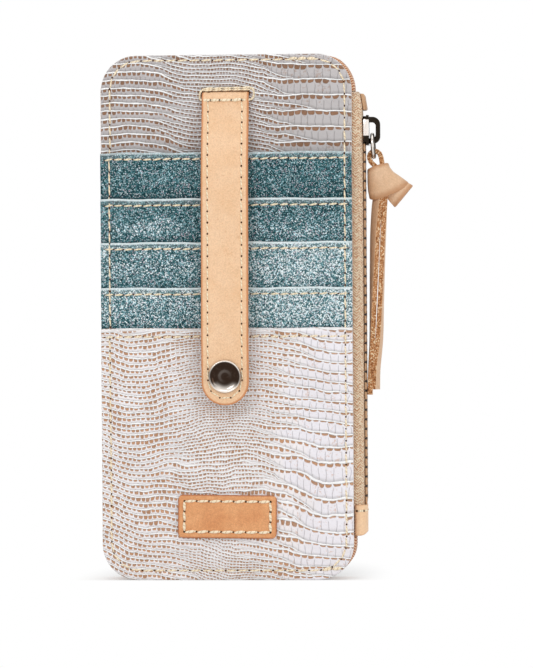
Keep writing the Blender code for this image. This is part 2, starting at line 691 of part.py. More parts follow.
# Slider, ring and pull
def make_slider(metal, pivot):
    half_width = TOOTH_OUTER + FIT + SLIDER_FLANGE
    plate = rounded_rectangle(
        -half_width, half_width, SLIDER_BOTTOM, SLIDER_TOP, [SLIDER_CORNER] * 4
    )
    slider = flat_solid(
        "slider_body", [plate], SLIDER_OUT - SLIDER_PLATE, SLIDER_OUT, metal, "side"
    )
    inner_plate = flat_solid(
        "slider_inner_plate", [plate], TEETH_IN - FIT - SLIDER_PLATE, TEETH_IN - FIT, metal, "side"
    )
    boolean(slider, inner_plate, "UNION")
    middle = SLIDER_PLATE / 2
    neck = box(
        "slider_neck",
        (TEETH_IN - FIT - middle, -SLIDER_NECK_WIDTH / 2, NECK_BOTTOM),
        (SLIDER_OUT - middle, SLIDER_NECK_WIDTH / 2, SLIDER_TOP - FIT),
        metal,
    )
    boolean(slider, neck, "UNION")
    for name, side in (("front", -1), ("back", 1)):
        low, high = sorted((side * (half_width - SLIDER_FLANGE), side * (half_width - CLOSE_FIT)))
        flange = box(
            f"slider_{name}_flange",
            (CHAIN_X + TAPE_THICKNESS / 2 + FIT, low, SLIDER_BOTTOM + SLIDER_CORNER),
            (SLIDER_OUT - middle, high, SLIDER_TOP - SLIDER_CORNER),
            metal,
        )
        boolean(slider, flange, "UNION")
    end = SLIDER_CORNER / 2
    round_end = SLIDER_LENGTH / 4
    outer = rounded_rectangle(
        SLIDER_OUT - middle, SLIDER_OUT + BRIDGE_REACH, SLIDER_BOTTOM + end, SLIDER_TOP - end,
        (0, round_end, round_end, 0),
    )
    hole_round = round_end / 2
    hole = rounded_rectangle(
        SLIDER_OUT - FIT, BRIDGE_HOLE_OUT, BRIDGE_HOLE_LOW, SLIDER_TOP - BRIDGE_FOOT,
        (0, hole_round, hole_round, 0),
    )
    bridge = flat_solid("slider_bridge", [outer, hole], -BRIDGE_WIDTH / 2, BRIDGE_WIDTH / 2, metal)
    boolean(slider, bridge, "UNION")
    hang(slider, pivot)


def make_ring(metal, pivot):
    work = bmesh.new()
    profile = arc((RING_RADIUS, 0), RING_WIRE, 0, 360 * (1 - 1 / RING_SIDES), RING_SIDES - 1)
    verts = [work.verts.new((x, 0, z)) for x, z in profile]
    edges = [work.edges.new(pair) for pair in zip(verts, verts[1:] + verts[:1])]
    bmesh.ops.spin(
        work, geom=verts + edges, cent=(0, 0, 0), axis=(0, 0, 1), angle=math.tau,
        steps=ROUND_STEPS, use_merge=True,
    )
    mesh = bpy.data.meshes.new("pull_ring")
    work.to_mesh(mesh)
    work.free()
    weld(mesh)
    ring = add_piece("pull_ring", mesh, metal)
    ring.rotation_euler.y = math.radians(90) - RING_TILT
    ring.location = ((RING_TOP_X + RING_LOW_X) / 2, 0, (RING_TOP_Z + RING_LOW_Z) / 2)
    hang(ring, pivot)


def make_pull(leather, pivot):
    """One strip: looped over the ring, tied in a knot, with both ends hanging down."""
    def placed(points):
        return [(RING_LOW_X + x * MM, RING_LOW_Z + z * MM) for x, z in points]

    half_depth = KNOT_DEPTH / 2
    overlap = KNOT_DEPTH / 12
    pull = flat_solid("leather_pull", [placed(KNOT_BAND)], -half_depth, overlap, leather)
    bevel(pull, KNOT_BEVEL, 2)
    fold = flat_solid("pull_fold", [placed(KNOT_FOLD)], -overlap, half_depth, leather)
    bevel(fold, KNOT_BEVEL, 2)
    boolean(pull, fold, "UNION")
    half = LOOP_THICKNESS / 2
    centre = placed([LOOP_CENTRE])[0]
    radius = LOOP_RADIUS + half
    foot = RING_LOW_Z - LOOP_FOOT
    path = [(centre[0] - radius, foot)] + arc(centre, radius, 180, 0) + [(centre[0] + radius, foot)]
    loop = flat_solid(
        "pull_loop", [ribbon(path, -half, half)], -LOOP_WIDTH / 2, LOOP_WIDTH / 2, leather
    )
    boolean(pull, loop, "UNION")
    half = TAIL_THICKNESS / 2
    for name, points in (("left", LEFT_TAIL), ("right", RIGHT_TAIL)):
        outline = ribbon(smooth_path(placed(points), 3), -half, half)
        tail = flat_solid(f"pull_{name}_tail", [outline], -TAIL_WIDTH / 2, TAIL_WIDTH / 2, leather)
        boolean(pull, tail, "UNION")
    hang(pull, pivot)


def colour(red, green, blue):
    """A display colour from 0 to 255, as the linear values that a shader takes."""
    values = [channel / 255 for channel in (red, green, blue)]
    return [v / 12.92 if v < 0.04045 else ((v + 0.055) / 1.055) ** 2.4 for v in values]


def build():
    lizard = finish_material("lizard leather", colour(222, 218, 222), 0.4)
    natural = finish_material("natural leather", colour(238, 198, 158), 0.55)
    edge = finish_material("gusset leather", colour(190, 125, 75), 0.6)
    pull_leather = finish_material("pull leather", colour(222, 184, 148), 0.6)
    glitter = finish_material("glitter", colour(90, 150, 160), 0.35, 0.3)
    board = finish_material("board", colour(150, 140, 125), 0.9)
    cloth = finish_material("lining cloth", colour(200, 170, 140), 0.9)
    tape = finish_material("zip tape", colour(205, 176, 146), 0.9)
    plastic = finish_material("zip plastic", colour(205, 170, 135), 0.45)
    metal = finish_material("gunmetal", colour(95, 90, 85), 0.25, 1)

    make_wall(-1, lizard, board, cloth)
    make_wall(1, lizard, board, cloth)
    make_gusset(edge)
    make_card_pockets(glitter)
    make_lower_pocket(lizard)
    make_patch(natural)

    hinge_out = POCKET_IN + STRAP_THICKNESS + 2 * FIT
    strap_pivot = new_pivot("strap_pivot", (0, -hinge_out, STRAP_HINGE_HEIGHT))
    make_strap(natural, strap_pivot)
    make_strap_root(natural)
    make_snap(metal, strap_pivot)

    make_tape("zip_tape_front", -1, tape)
    make_tape("zip_tape_back", 1, tape)
    make_teeth("zip_teeth_front", -1, CHAIN_BOTTOM, NECK_BOTTOM - FIT, plastic)
    make_teeth(
        "zip_teeth_back", 1, CHAIN_BOTTOM + TOOTH_PITCH / 2, NECK_BOTTOM - FIT, plastic
    )
    make_stops(plastic)
    make_end_tab(natural)

    slide = new_pivot("zip_slide", (CHAIN_X, 0, SLIDER_BOTTOM))
    make_slider(metal, slide)
    ring_pivot = new_pivot("ring_pivot", (RING_TOP_X, 0, RING_TOP_Z), slide)
    make_ring(metal, ring_pivot)
    pull_pivot = new_pivot("pull_pivot", (RING_LOW_X, 0, RING_LOW_Z), ring_pivot)
    make_pull(pull_leather, pull_pivot)
    bpy.context.view_layer.update()


clear_scene()
PARTS = new_collection("card_organizer")
CUTTERS = new_collection("cutters")
build()
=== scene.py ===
# %% [markdown]
# # A card organizer in embossed leather
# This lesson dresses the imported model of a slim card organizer. Its rigid frame, with every joint,
# comes from the CAD model, and nothing here moves it. What is added is what the eye sees: turned
# edges, seams, thread, a tied leather pull, and the finish of each material.

# %% Load the frame
import bisect
import math
import random
from itertools import accumulate, pairwise

import bmesh
import bpy
from mathutils import Matrix, Vector
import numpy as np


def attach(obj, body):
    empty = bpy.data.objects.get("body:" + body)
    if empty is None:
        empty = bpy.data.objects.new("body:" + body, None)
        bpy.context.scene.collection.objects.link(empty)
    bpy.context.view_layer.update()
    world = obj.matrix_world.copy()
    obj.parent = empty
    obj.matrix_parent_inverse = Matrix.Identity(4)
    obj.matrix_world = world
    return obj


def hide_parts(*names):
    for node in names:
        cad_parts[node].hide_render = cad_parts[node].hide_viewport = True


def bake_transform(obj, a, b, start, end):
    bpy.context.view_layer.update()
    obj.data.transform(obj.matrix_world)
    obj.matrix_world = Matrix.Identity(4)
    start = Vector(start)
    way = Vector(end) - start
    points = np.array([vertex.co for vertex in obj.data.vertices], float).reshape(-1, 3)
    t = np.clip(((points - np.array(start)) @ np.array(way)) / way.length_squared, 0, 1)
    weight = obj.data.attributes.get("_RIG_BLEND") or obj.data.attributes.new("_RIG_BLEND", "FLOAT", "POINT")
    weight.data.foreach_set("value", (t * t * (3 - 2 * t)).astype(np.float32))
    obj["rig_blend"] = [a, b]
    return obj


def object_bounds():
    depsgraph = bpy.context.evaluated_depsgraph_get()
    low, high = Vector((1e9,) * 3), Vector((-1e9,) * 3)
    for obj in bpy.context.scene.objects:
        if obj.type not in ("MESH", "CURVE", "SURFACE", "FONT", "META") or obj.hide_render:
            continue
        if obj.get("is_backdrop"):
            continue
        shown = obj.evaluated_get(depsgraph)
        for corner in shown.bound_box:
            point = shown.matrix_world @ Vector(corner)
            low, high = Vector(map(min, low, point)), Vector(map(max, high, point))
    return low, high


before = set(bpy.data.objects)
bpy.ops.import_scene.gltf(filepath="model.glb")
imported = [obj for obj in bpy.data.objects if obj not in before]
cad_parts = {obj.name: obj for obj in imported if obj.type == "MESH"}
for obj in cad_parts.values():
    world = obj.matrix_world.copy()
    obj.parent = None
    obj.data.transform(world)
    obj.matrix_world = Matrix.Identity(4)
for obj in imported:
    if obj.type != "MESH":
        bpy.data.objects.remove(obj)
cad_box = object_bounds()
MM = 0.001

# %% [markdown]
# ## Shader maths in plain expressions
# A material is a graph of nodes. To read it like a recipe, one small class wraps a number that
# varies over the surface, so that a sum or a product on it adds a Math node by itself.


# %% Numbers that vary over a surface
class Amount:
    """A number that varies over a surface, written with ordinary operators."""

    def __init__(self, graph, socket):
        self.graph, self.socket = graph, socket

    def step(self, low, high):
        """Rises smoothly from 0 at low to 1 at high, or falls if low is the larger."""
        sockets = {0: self, 1: low, 2: high}
        node = self.graph.node("ShaderNodeMapRange", sockets, interpolation_type="SMOOTHSTEP")
        return Amount(self.graph, node.outputs[0])

    def pick(self, here, there):
        """Here where this is 1, there where it is 0."""
        return self * here + (1 - self) * there

    def clamped(self):
        return self.most(0).least(1)

    def wave(self):
        """A wave from -1 to 1 that comes round once for each whole number."""
        return (self * math.tau).sine()


def operator(operation, reflected=False):
    """A method of Amount that adds one Math node."""

    def method(self, *others):
        values = (*others, self) if reflected else (self, *others)
        node = self.graph.node("ShaderNodeMath", dict(enumerate(values)), operation=operation)
        return Amount(self.graph, node.outputs[0])

    return method


# "part" is what is left after the whole number is taken off.
OPERATORS = {
    "__add__ __radd__": "ADD", "__sub__": "SUBTRACT", "__mul__ __rmul__": "MULTIPLY",
    "__truediv__": "DIVIDE", "__lt__": "LESS_THAN", "__gt__": "GREATER_THAN",
    "__abs__": "ABSOLUTE", "floor": "FLOOR", "part": "FRACT", "least": "MINIMUM",
    "most": "MAXIMUM", "root": "SQRT", "sine": "SINE", "tanh": "TANH",
}
for names, operation in OPERATORS.items():
    for name in names.split():
        setattr(Amount, name, operator(operation))
Amount.__rsub__ = operator("SUBTRACT", reflected=True)
Amount.__rtruediv__ = operator("DIVIDE", reflected=True)


def paint(tone):
    """A display colour from 0 to 255, as the linear values that a shader takes."""
    values = [channel / 255 for channel in tone]
    linear = [v / 12.92 if v < 0.04045 else ((v + 0.055) / 1.055) ** 2.4 for v in values]
    return (*linear, 1)


def shaded(tone, share):
    """A tone made darker, or lighter where share is above 1."""
    return tuple(min(255, channel * share) for channel in tone)


# %% The recipe of one material
class Graph:
    """A graph of nodes while it is being made."""

    def __init__(self, tree):
        self.tree = tree

    def plug(self, socket, value):
        if isinstance(value, Amount):
            value = value.socket
        if isinstance(value, bpy.types.NodeSocket):
            self.tree.links.new(value, socket)
        else:
            socket.default_value = value

    def node(self, kind, sockets=None, **settings):
        """Adds a node: its settings come first, then the values or links of its sockets."""
        node = self.tree.nodes.new(kind)
        for name, value in settings.items():
            setattr(node, name, value)
        for key, value in (sockets or {}).items():
            self.plug(node.inputs[key], value)
        return node

    def vector_math(self, operation, first, second, output=0):
        node = self.node("ShaderNodeVectorMath", {0: first, 1: second}, operation=operation)
        return node.outputs[output]

    def stretched(self, scale):
        """The place with its three parts multiplied, to draw a pattern out along one of them."""
        return self.vector_math("MULTIPLY", self.here, scale)

    def parts(self, vector):
        node = self.node("ShaderNodeSeparateXYZ", {0: vector})
        return [Amount(self, output) for output in node.outputs]

    def uv(self, layer):
        return self.parts(self.node("ShaderNodeUVMap", uv_map=layer).outputs[0])[:2]

    def join(self, x, y):
        return self.node("ShaderNodeCombineXYZ", {0: x, 1: y}).outputs[0]

    def noise(self, scale, detail=2.0, rough=0.5, vector=None):
        """Cloudy noise around 0, from about -0.5 to 0.5. Scale is in waves for each millimetre."""
        vector = vector or self.here
        sockets = {"Vector": vector, "Scale": scale, "Detail": detail, "Roughness": rough}
        return Amount(self, self.node("ShaderNodeTexNoise", sockets).outputs[0]) - 0.5

    def cells(self, scale, feature="F1"):
        sockets = {"Vector": self.here, "Scale": scale}
        return self.node("ShaderNodeTexVoronoi", sockets, feature=feature).outputs

    def chance(self, key):
        """A random number from 0 to 1 for each value of key."""
        node = self.node("ShaderNodeTexWhiteNoise", {"W": key}, noise_dimensions="1D")
        return Amount(self, node.outputs[0])

    def held(self, name):
        """A number that was painted on the piece's points."""
        return Amount(self, self.node("ShaderNodeAttribute", attribute_name=name).outputs["Fac"])

    def mix(self, amount, first, second):
        """First where amount is 0, second where it is 1."""
        node = self.node("ShaderNodeMix", {0: amount, 6: first, 7: second}, data_type="RGBA")
        return node.outputs[2]

    def coat(self, colour, *layers):
        """Paints layers over a tone or a colour. Each has where it covers, and its tone."""
        if isinstance(colour, tuple):
            colour = paint(colour)
        for amount, tone in layers:
            colour = self.mix(amount, colour, paint(tone))
        return colour

    def bands(self, amount, stops):
        """Flat bands of tone, each from a value of amount on."""
        node = self.node("ShaderNodeValToRGB", {0: amount})
        ramp = node.color_ramp
        ramp.interpolation = "CONSTANT"
        while len(ramp.elements) < len(stops):
            ramp.elements.new(1)
        for element, (position, tone) in zip(ramp.elements, stops):
            element.position, element.color = position, paint(tone)
        return node.outputs[0]

    def seen(self):
        """1 where the camera looks, straight on or by a reflection, and 0 for other light."""
        path = self.node("ShaderNodeLightPath").outputs
        camera, glossy, through = (
            Amount(self, path[f"Is {ray} Ray"]) for ray in ("Camera", "Glossy", "Transmission")
        )
        return camera.most(glossy).most(through)

    def relief(self, height, depth, below=None):
        """A bump of that depth in millimetres for a height from 0 to 1."""
        sockets = {"Height": height, "Distance": depth * MM, "Strength": 1.0}
        if below is not None:
            sockets["Normal"] = below
        return self.node("ShaderNodeBump", sockets).outputs[0]


OVERCAST_PITCH = 1.15


class Finish(Graph):
    """A material while it is being made. Lengths in it are in millimetres."""

    def __init__(self, name, **constants):
        self.material = bpy.data.materials.new(name)
        self.material.use_nodes = True
        super().__init__(self.material.node_tree)
        self.shader = self.tree.nodes["Principled BSDF"]
        for socket, value in constants.items():
            self.shader.inputs[socket.replace("_", " ")].default_value = value
        place = self.node("ShaderNodeTexCoord").outputs["Object"]
        self.here = self.vector_math("MULTIPLY", place, (1 / MM,) * 3)
        self.x, self.y, self.z = self.parts(self.here)

    def overcast(self):
        """The slanting light threads along both brown edges of the object's sides."""
        along = abs(self.x) - abs(self.z - 99)
        threads = (along / OVERCAST_PITCH + abs(self.y) * 0.12).wave().step(0.1, 0.6)
        return threads * abs(self.y).step(0.3, 0.7)

    def done(self, colour, roughness=None, normal=None, metallic=None):
        values = {
            "Base Color": colour, "Roughness": roughness, "Normal": normal, "Metallic": metallic
        }
        for socket, value in values.items():
            if value is not None:
                self.plug(self.shader.inputs[socket], value)
        print(f"{self.material.name}: {len(self.tree.nodes)} nodes")
        return self.material


# %% [markdown]
# ## Pearl leather with a lizard emboss
# The real hide is cowhide, pressed under a heated plate that carries a lizard pattern, then wiped
# with a pearl foil. The foil stays on the high ridges and scales, and the tan hide shows in the
# small pits that hang under each ridge. The rows of scales are narrow behind the strap, wider at
# the left and widest at the right. So the widest rows come first here. Each of them splits in two,
# and each half splits again, at a place along the row that is its own. Where a half runs out, it
# tapers to a point, which is how the rows of a real hide fork.


# %% Lizard leather
def lizard_leather(
    name, body, belly, pit_tone, widest, pit_share, pit_heights, bends, flow, lean, swell
):
    """Rows of ridges with small tan pits under them, in the hide's own x and z."""
    f = Finish(name, Coat_Weight=0.15, Coat_Roughness=0.3)
    x = f.x + f.noise(0.09, 1.0) * 5
    height = f.z + f.noise(0.05, 1.0) * flow + f.noise(0.3, 1.0) * 0.8
    for low, high, rise in bends:
        height = height + f.x.step(low, high) * rise
    height = height + (f.x + 47).least(45) * f.z.step(66, 6) * lean
    height = height - f.x.step(-9, 13) * f.z.step(20, 44) * f.z.step(74, 50) * swell
    place = height / widest
    key, up, tall = place.floor(), place.part(), widest
    # Key is a row's own number, up is how high a spot is in its row, and tall is the row's height.
    # Each turn splits the rows in two between a left and a right place, and leaves them whole
    # outside these. At -200 the left one is off the hide.
    for left_from, right_from in ((-200, 10), (-6, 1)):
        luck = f.chance(key * 7.1 + 3.3) * 15
        left = ((left_from - luck - x) / 10).clamped()
        right = ((x - right_from - luck) / 12).clamped()
        share = left * 0.5 - right * 0.5 + 0.5
        lower = up < share
        up = lower.pick(up / (share + 0.001), (up - share) / (1.001 - share))
        tall = tall * lower.pick(share, 1 - share)
        key = key * 2 + lower

    # Scales along a row are short near its left end and its middle, where along climbs fast.
    along = (
        f.x * 0.315
        + ((f.x + 40) / 30).tanh() * 7
        + ((f.x - 2) / 16).tanh() * 8
        + f.chance(key * 3.7 + 11.3) * 17
        + f.noise(0.3, 0.0) * 0.5
    )
    sideways = abs(along.part() - 0.5)
    own = f.chance(along.floor() + key * 5.3)
    wide = tall.step(3.0, 4.4)
    size = (f.noise(0.07, 1.0, vector=f.stretched((1, 1, 1.5))) * 1.3 + 1).most(0.6).least(1.25)
    ridge_height = ((tall * 0.12).least(0.3) + 0.28) * (f.noise(0.35, 1.0) * 0.9 + 1)
    depth = (1 - up) * tall - ridge_height
    # Pits with round ends hang under each ridge, and below them creases part two scales.
    deepest = wide.pick(pit_heights[1], pit_heights[0])
    pit_depth = (tall * pit_share).least(deepest) * (own * 0.4 + 0.75) * size
    across = sideways * (2.75 - own * 0.3 - wide * 0.25) / (size * 0.4 + 0.6)
    curve = (1 - across * across * across * across).most(0).root()
    pit = (curve * pit_depth - depth).step(-0.06, 0.2) * depth.step(-0.16, 0.04)
    pit = pit * tall.step(0.5, 1.0)
    worn = f.noise(0.9, 3.0, 0.65)
    ridge = depth.step(0.1, -0.14) * tall.step(0.3, 0.8) * (worn * 0.8 + 0.95).least(1)
    line = sideways.step(0.43, 0.5)
    creased = line * depth.step(deepest, deepest + 0.5)
    gap = line * depth.step(deepest * 1.1, deepest * 0.7) * tall.step(6, 3) * 0.6
    fold_shade = up.step(0.22, 0.02) * tall.step(0.5, 1.6)
    dull = f.noise(1.4, 3.0, 0.7, f.stretched((0.7, 1, 1.6))).step(-0.05, -0.4)

    # Painted shade darkens the creases between scales and the bottom of each row.
    pearl = f.coat(
        body,
        (wide, belly),
        (dull * 0.9, shaded(body, 0.72)),
        (f.noise(0.06).step(-0.1, 0.3) * 0.5, shaded(body, 0.92)),
        (creased * 0.4 + fold_shade * 0.5, shaded(body, 0.7)),
        ((worn + own * 0.2).step(0.2, 0.34) * 0.5, pit_tone),
    )
    tan = f.coat(pit_tone, (own * 0.9, shaded(pit_tone, 0.84)))
    # Painted highlights: the ridges and the fine lines between pits are painted white over the pearl foil,
    # and each rolled edge, where rim was painted, is painted near white.
    colour = f.coat(
        f.mix(pit * (worn * 0.6 + 1.0).least(1), pearl, tan),
        ((ridge + gap).least(1), (255, 255, 255)),
        (f.held("rim") * 0.85, (250, 248, 248)),
    )
    # Each wall's side is brown behind its outer face, with overcast thread over it.
    brown = f.coat((174, 98, 50), (f.overcast() * 0.75, (242, 202, 160)))
    colour = f.mix(abs(f.y).step(8.75, 8.45), colour, brown)
    plump = (up * math.pi).sine() * 0.2
    grain = f.relief(f.noise(2.6, 3.0) + 0.5, 0.06)
    normal = f.relief(ridge * 0.6 + plump - pit * 0.45 - creased * 0.3 + 0.5, 0.5, grain)
    return f.done(colour, (0.42 + pit * 0.3 - ridge * 0.08 + worn * 0.15).most(0.2), normal)


# The walls' copy of the hide is painted darker and greyer than the pocket's copy of the same hide: painted
# shade on the upper part.
SHADED_PANEL_PEARL = lizard_leather(
    "panel pearl leather", (190, 184, 184), (194, 189, 189), (152, 110, 80),
    widest=5.9, pit_share=0.4, pit_heights=(1.2, 1.45),
    bends=[(-47, -36, -0.5), (-36, -6, 3.8), (0, 22, 3.2)], flow=4, lean=0, swell=0,
)
POCKET_PEARL = lizard_leather(
    "pocket pearl leather", (246, 241, 242), (240, 237, 244), (204, 152, 114),
    widest=4.0, pit_share=0.47, pit_heights=(0.95, 0.62),
    bends=[(-47, -36, 1.9), (-38, -4, -4.6), (8, 44, 4.2)], flow=5, lean=0.3, swell=1.6,
)

# %% [markdown]
# ## Glitter sheet for the card slots
# The slots are cut from a coated fabric strewn with flakes of foil. Each flake is a cell with a
# colour and a slope of its own. Its lightest flakes and a scatter of fine white sparkles are
# painted glints, and most flakes stay dark.


# %% Glitter
def glitter_sheet():
    f = Finish("glitter sheet", Specular_IOR_Level=0.15)
    flakes = f.cells(2.5)
    red, green, blue = f.parts(flakes["Color"])
    fine_red, fine_green, _ = f.parts(f.cells(4.4)["Color"])
    cloud = f.noise(0.055, vector=f.stretched((1, 1, 1.6)))
    # Random cloudy tone, painted sheen that lightens the lower slots and the right of the middle ones, and
    # painted shade just above each next slot's edge.
    sheen_and_shade = (
        cloud.step(0.0, 0.22) * 0.16
        + f.z.step(148, 108) * 0.2
        + f.x.step(-20, 30) * f.z.step(142, 122) * 0.16
        - f.held("shade") * 0.22
        - 0.07
    )
    # The two lightest tones of the ramp and the fine white sparkles are painted glints.
    flake_tones_and_glints = [
        (0.0, (18, 54, 60)), (0.16, (38, 80, 87)), (0.4, (64, 112, 118)),
        (0.62, (106, 154, 162)), (0.79, (184, 220, 230)), (0.88, (244, 253, 255)),
    ]
    # Where rim was painted, the folded top edge takes a painted highlight.
    colour = f.coat(
        f.bands(red * 0.9 + sheen_and_shade, flake_tones_and_glints),
        ((green > 0.95) * 0.5, (230, 206, 222)),
        ((fine_red > 0.91) * 0.85, (232, 247, 251)),
        ((fine_green < 0.18) * 0.7, (18, 50, 56)),
        (f.held("rim"), (236, 247, 249)),
    )
    local = f.vector_math("SUBTRACT", f.here, flakes["Position"])
    lean = f.vector_math("SUBTRACT", flakes["Color"], (0.5, 0.5, 0.5))
    slope = Amount(f, f.vector_math("DOT_PRODUCT", local, lean, "Value"))
    normal = f.relief(slope, 0.35, f.relief(fine_green, 0.05))
    return f.done(colour, blue * 0.4 + 0.3, normal, (red > 0.6) * 0.2)


GLITTER = glitter_sheet()

# %% [markdown]
# ## Vegetable-tanned leather
# The strap, the patch and the zip's end tab are undyed leather. It has a fine pebble grain, drifts
# from cream to orange, and is darker along its cut and burnished edges.


# %% Natural leather
def tanned_leather(name, light, deep, edge_tone, burnish=0.9, pebble=0.05, spots=0.35, sewn=False):
    f = Finish(name, Specular_IOR_Level=0.4)
    cloud = f.noise(0.09, 3.0, 0.6)
    grain = Amount(f, f.cells(2.2, "SMOOTH_F1")["Distance"])
    fine = f.noise(4.5, 3.0, 0.6)
    fleck = f.noise(1.4)
    blotch = f.noise(0.5, 4.0, 0.7)
    edge = (f.held("rim") + f.noise(0.7) * 0.25).step(0.2, 0.9)
    colour = f.coat(
        light,
        ((cloud * 1.8 + 0.5).clamped(), deep),
        (fleck.step(0.05, 0.3) * spots, edge_tone),
        (blotch.step(0.02, 0.3) * 0.5, shaded(light, 1.05)),
        (blotch.step(-0.02, -0.3) * 0.5, shaded(deep, 0.9)),
        (grain.step(0.3, 0.55) * 0.25, shaded(deep, 0.86)),
        (edge * burnish, edge_tone),
    )
    if sewn:
        colour = f.coat(colour, (f.overcast() * 0.85, (250, 218, 178)))
    normal = f.relief(grain + fine * 0.4, pebble * 2.6, f.relief(cloud + 0.5, 0.3))
    return f.done(colour, (0.5 + cloud * 0.2 + fleck * 0.2 - edge * 0.1).most(0.3), normal)


STRAP_LEATHER = tanned_leather("strap leather", (250, 213, 176), (241, 195, 150), (206, 132, 80))
PATCH_LEATHER = tanned_leather("patch leather", (244, 184, 130), (216, 142, 88), (178, 102, 58))
TAB_LEATHER = tanned_leather(
    "tab leather", (255, 221, 180), (255, 209, 166), (242, 184, 134), burnish=0.63
)
PULL_LEATHER = tanned_leather(
    "pull leather", (233, 198, 165), (219, 176, 136), (190, 138, 96), pebble=0.03, spots=0.25
)
GUSSET_LEATHER = tanned_leather(
    "gusset leather", (184, 106, 58), (162, 88, 46), (184, 112, 66), pebble=0.06, sewn=True
)


# %% The rough cut edge of the pull's strips
def cut_edge():
    f = Finish("cut leather edge", Roughness=0.85, Specular_IOR_Level=0.2)
    fibres = f.noise(1.5, 2.0, 0.65)
    layers = f.noise(0.9, 3.0, 0.6, f.stretched((2.4, 1, 0.35)))
    colour = f.coat(
        (212, 152, 102),
        ((layers * 2.4 + 0.5).clamped(), (176, 116, 70)),
        (fibres.step(0.04, 0.13), (255, 230, 190)),
        (fibres.step(-0.05, -0.16) * 0.9, (118, 66, 34)),
    )
    return f.done(colour, normal=f.relief(fibres + 0.5, 0.6))


CUT_EDGE = cut_edge()

# %% [markdown]
# ## Thread, cloth, board, plastic and metal
# Thread is two plies laid together, which shows as a slanting line across each stitch. The zip's
# tape is a woven herringbone, the lining is a plain weave, and the metal is a dark plated alloy.


# %% Thread and stitch holes
def thread():
    f = Finish("cream thread", Sheen_Weight=0.3, Specular_IOR_Level=0.3)
    u, v = f.uv("thread")
    ply = (u + v * 3.5).wave() * 0.5 + 0.5
    fuzz = f.noise(7.0)
    colour = f.coat((253, 238, 208), (ply.step(0.35, 0.0) * 0.7, (206, 174, 132)))
    return f.done(colour, fuzz * 0.3 + 0.62, f.relief(ply + fuzz * 0.6, 0.1))


def stitch_hole():
    f = Finish("stitch hole", Specular_IOR_Level=0.1)
    # The dark disc at each hole is painted shade standing for the hole.
    colour = f.coat((58, 34, 20), (f.noise(2.0) + 0.5, (96, 62, 38)))
    return f.done(colour, f.noise(3.0) * 0.2 + 0.9)


# %% Zip tape in herringbone, lining and board
def zip_tape():
    f = Finish("zip tape", Sheen_Weight=0.2, Specular_IOR_Level=0.2)
    u, v = f.uv("flat")
    # Ribs slant one way in one column and back in the next, and each has a tone of its own.
    column = u / 1.1
    turn = (column * 0.5).part().step(0.495, 0.505) * 2 - 1
    slope = (column.part() - 0.5) * turn
    place = v / 1.05 + slope + f.noise(0.5, 0.0, vector=f.join(u, v))
    rib = place.wave() * 0.5 + 0.5
    own = f.chance(place.floor() + column.floor() * 31.7)
    weft = (u / 0.38).wave() * 0.5 + 0.5
    knots = f.noise(0.95, 1.0, vector=f.join(u, v))
    # The folded top end of the tape is painted lighter: a painted highlight.
    colour = f.coat(
        (216, 160, 120),
        (rib.step(0.15, 0.85) * 0.7 + own * 0.3, (255, 240, 210)),
        (knots.step(0.05, 0.18) * 0.7, (255, 240, 212)),
        (knots.step(-0.07, -0.2) * 0.55, (174, 122, 86)),
        (f.z.step(182.9, 183.4) * 0.8, (246, 220, 194)),
    )
    return f.done(colour, knots * 0.1 + 0.82, f.relief(rib * 0.8 + weft * 0.2, 0.25))


def lining_cloth():
    f = Finish("lining cloth", Roughness=0.9, Sheen_Weight=0.2)
    weave = (f.x / 0.5).wave() * (f.z / 0.5).wave() * 0.5 + 0.5
    colour = f.coat(
        (196, 168, 138), (weave, (220, 194, 164)), (f.noise(0.4) + 0.3, (186, 156, 126))
    )
    return f.done(colour, normal=f.relief(weave, 0.12))


def grey_board():
    f = Finish("stiffener board", Roughness=0.95)
    pulp = f.noise(1.2, 4.0, 0.7, f.stretched((1, 1, 0.4))) + 0.5
    return f.done(f.coat((138, 128, 114), (pulp, (176, 166, 150))), normal=f.relief(pulp, 0.1))


THREAD, HOLE = thread(), stitch_hole()
TAPE, LINING, BOARD = zip_tape(), lining_cloth(), grey_board()

# %% Moulded zip plastic
ZIP_PITCH = 3.6
FIRST_TOOTH = 31.3
GAP_PHASE = 0.5 - FIRST_TOOTH / ZIP_PITCH
CHAIN_MIDDLE = 51.0


def zip_plastic():
    """Tan plastic with painted shade where two teeth of the closed chain leave a gap."""
    f = Finish("zip plastic", Specular_IOR_Level=0.45)
    turn = (f.z / ZIP_PITCH + (f.y > 0) * 0.5 + GAP_PHASE).part()
    gap = abs(turn - 0.5) * ZIP_PITCH
    # Painted shade fills the gaps between the teeth.
    deep = (abs(f.y) < 3.6) * (f.z < 166) * (gap < (f.x - CHAIN_MIDDLE) * 0.42)
    flow = f.noise(0.8)
    colour = f.coat(
        (214, 174, 136),
        (flow + 0.5, (190, 150, 112)),
        (f.x.step(52.0, 52.3) * 0.4, (150, 108, 74)),
        (deep, (48, 30, 20)),
    )
    return f.done(colour, flow * 0.2 + 0.42, f.relief(f.noise(2.5) + 0.5, 0.03))


# %% Dark metal
def dark_metal(name, tone, wear_tone, highlight_tone, roughness=0.14, highlight_band=None):
    """Dark plated metal with a painted highlight where rim was painted, or in a band of heights."""
    f = Finish(name)
    brushed = f.noise(1.1, 3.0, vector=f.stretched((1, 1, 5)))
    wear = f.noise(0.8, 3.0).step(0.05, 0.4)
    painted_highlight = f.held("rim")
    if highlight_band:
        low, high = highlight_band
        painted_highlight = f.z.step(low, low + 0.4) * f.z.step(high, high - 0.4)
        painted_highlight = painted_highlight * abs(f.y).step(3.4, 3.6) * f.x.step(54.0, 53.7)
    colour = f.coat(tone, (wear * 0.35, wear_tone), (painted_highlight, highlight_tone))
    metallic = (1 - wear * 0.1) * (1 - painted_highlight * 0.6)
    return f.done(colour, brushed * 0.14 + roughness, f.relief(brushed + 0.5, 0.012), metallic)


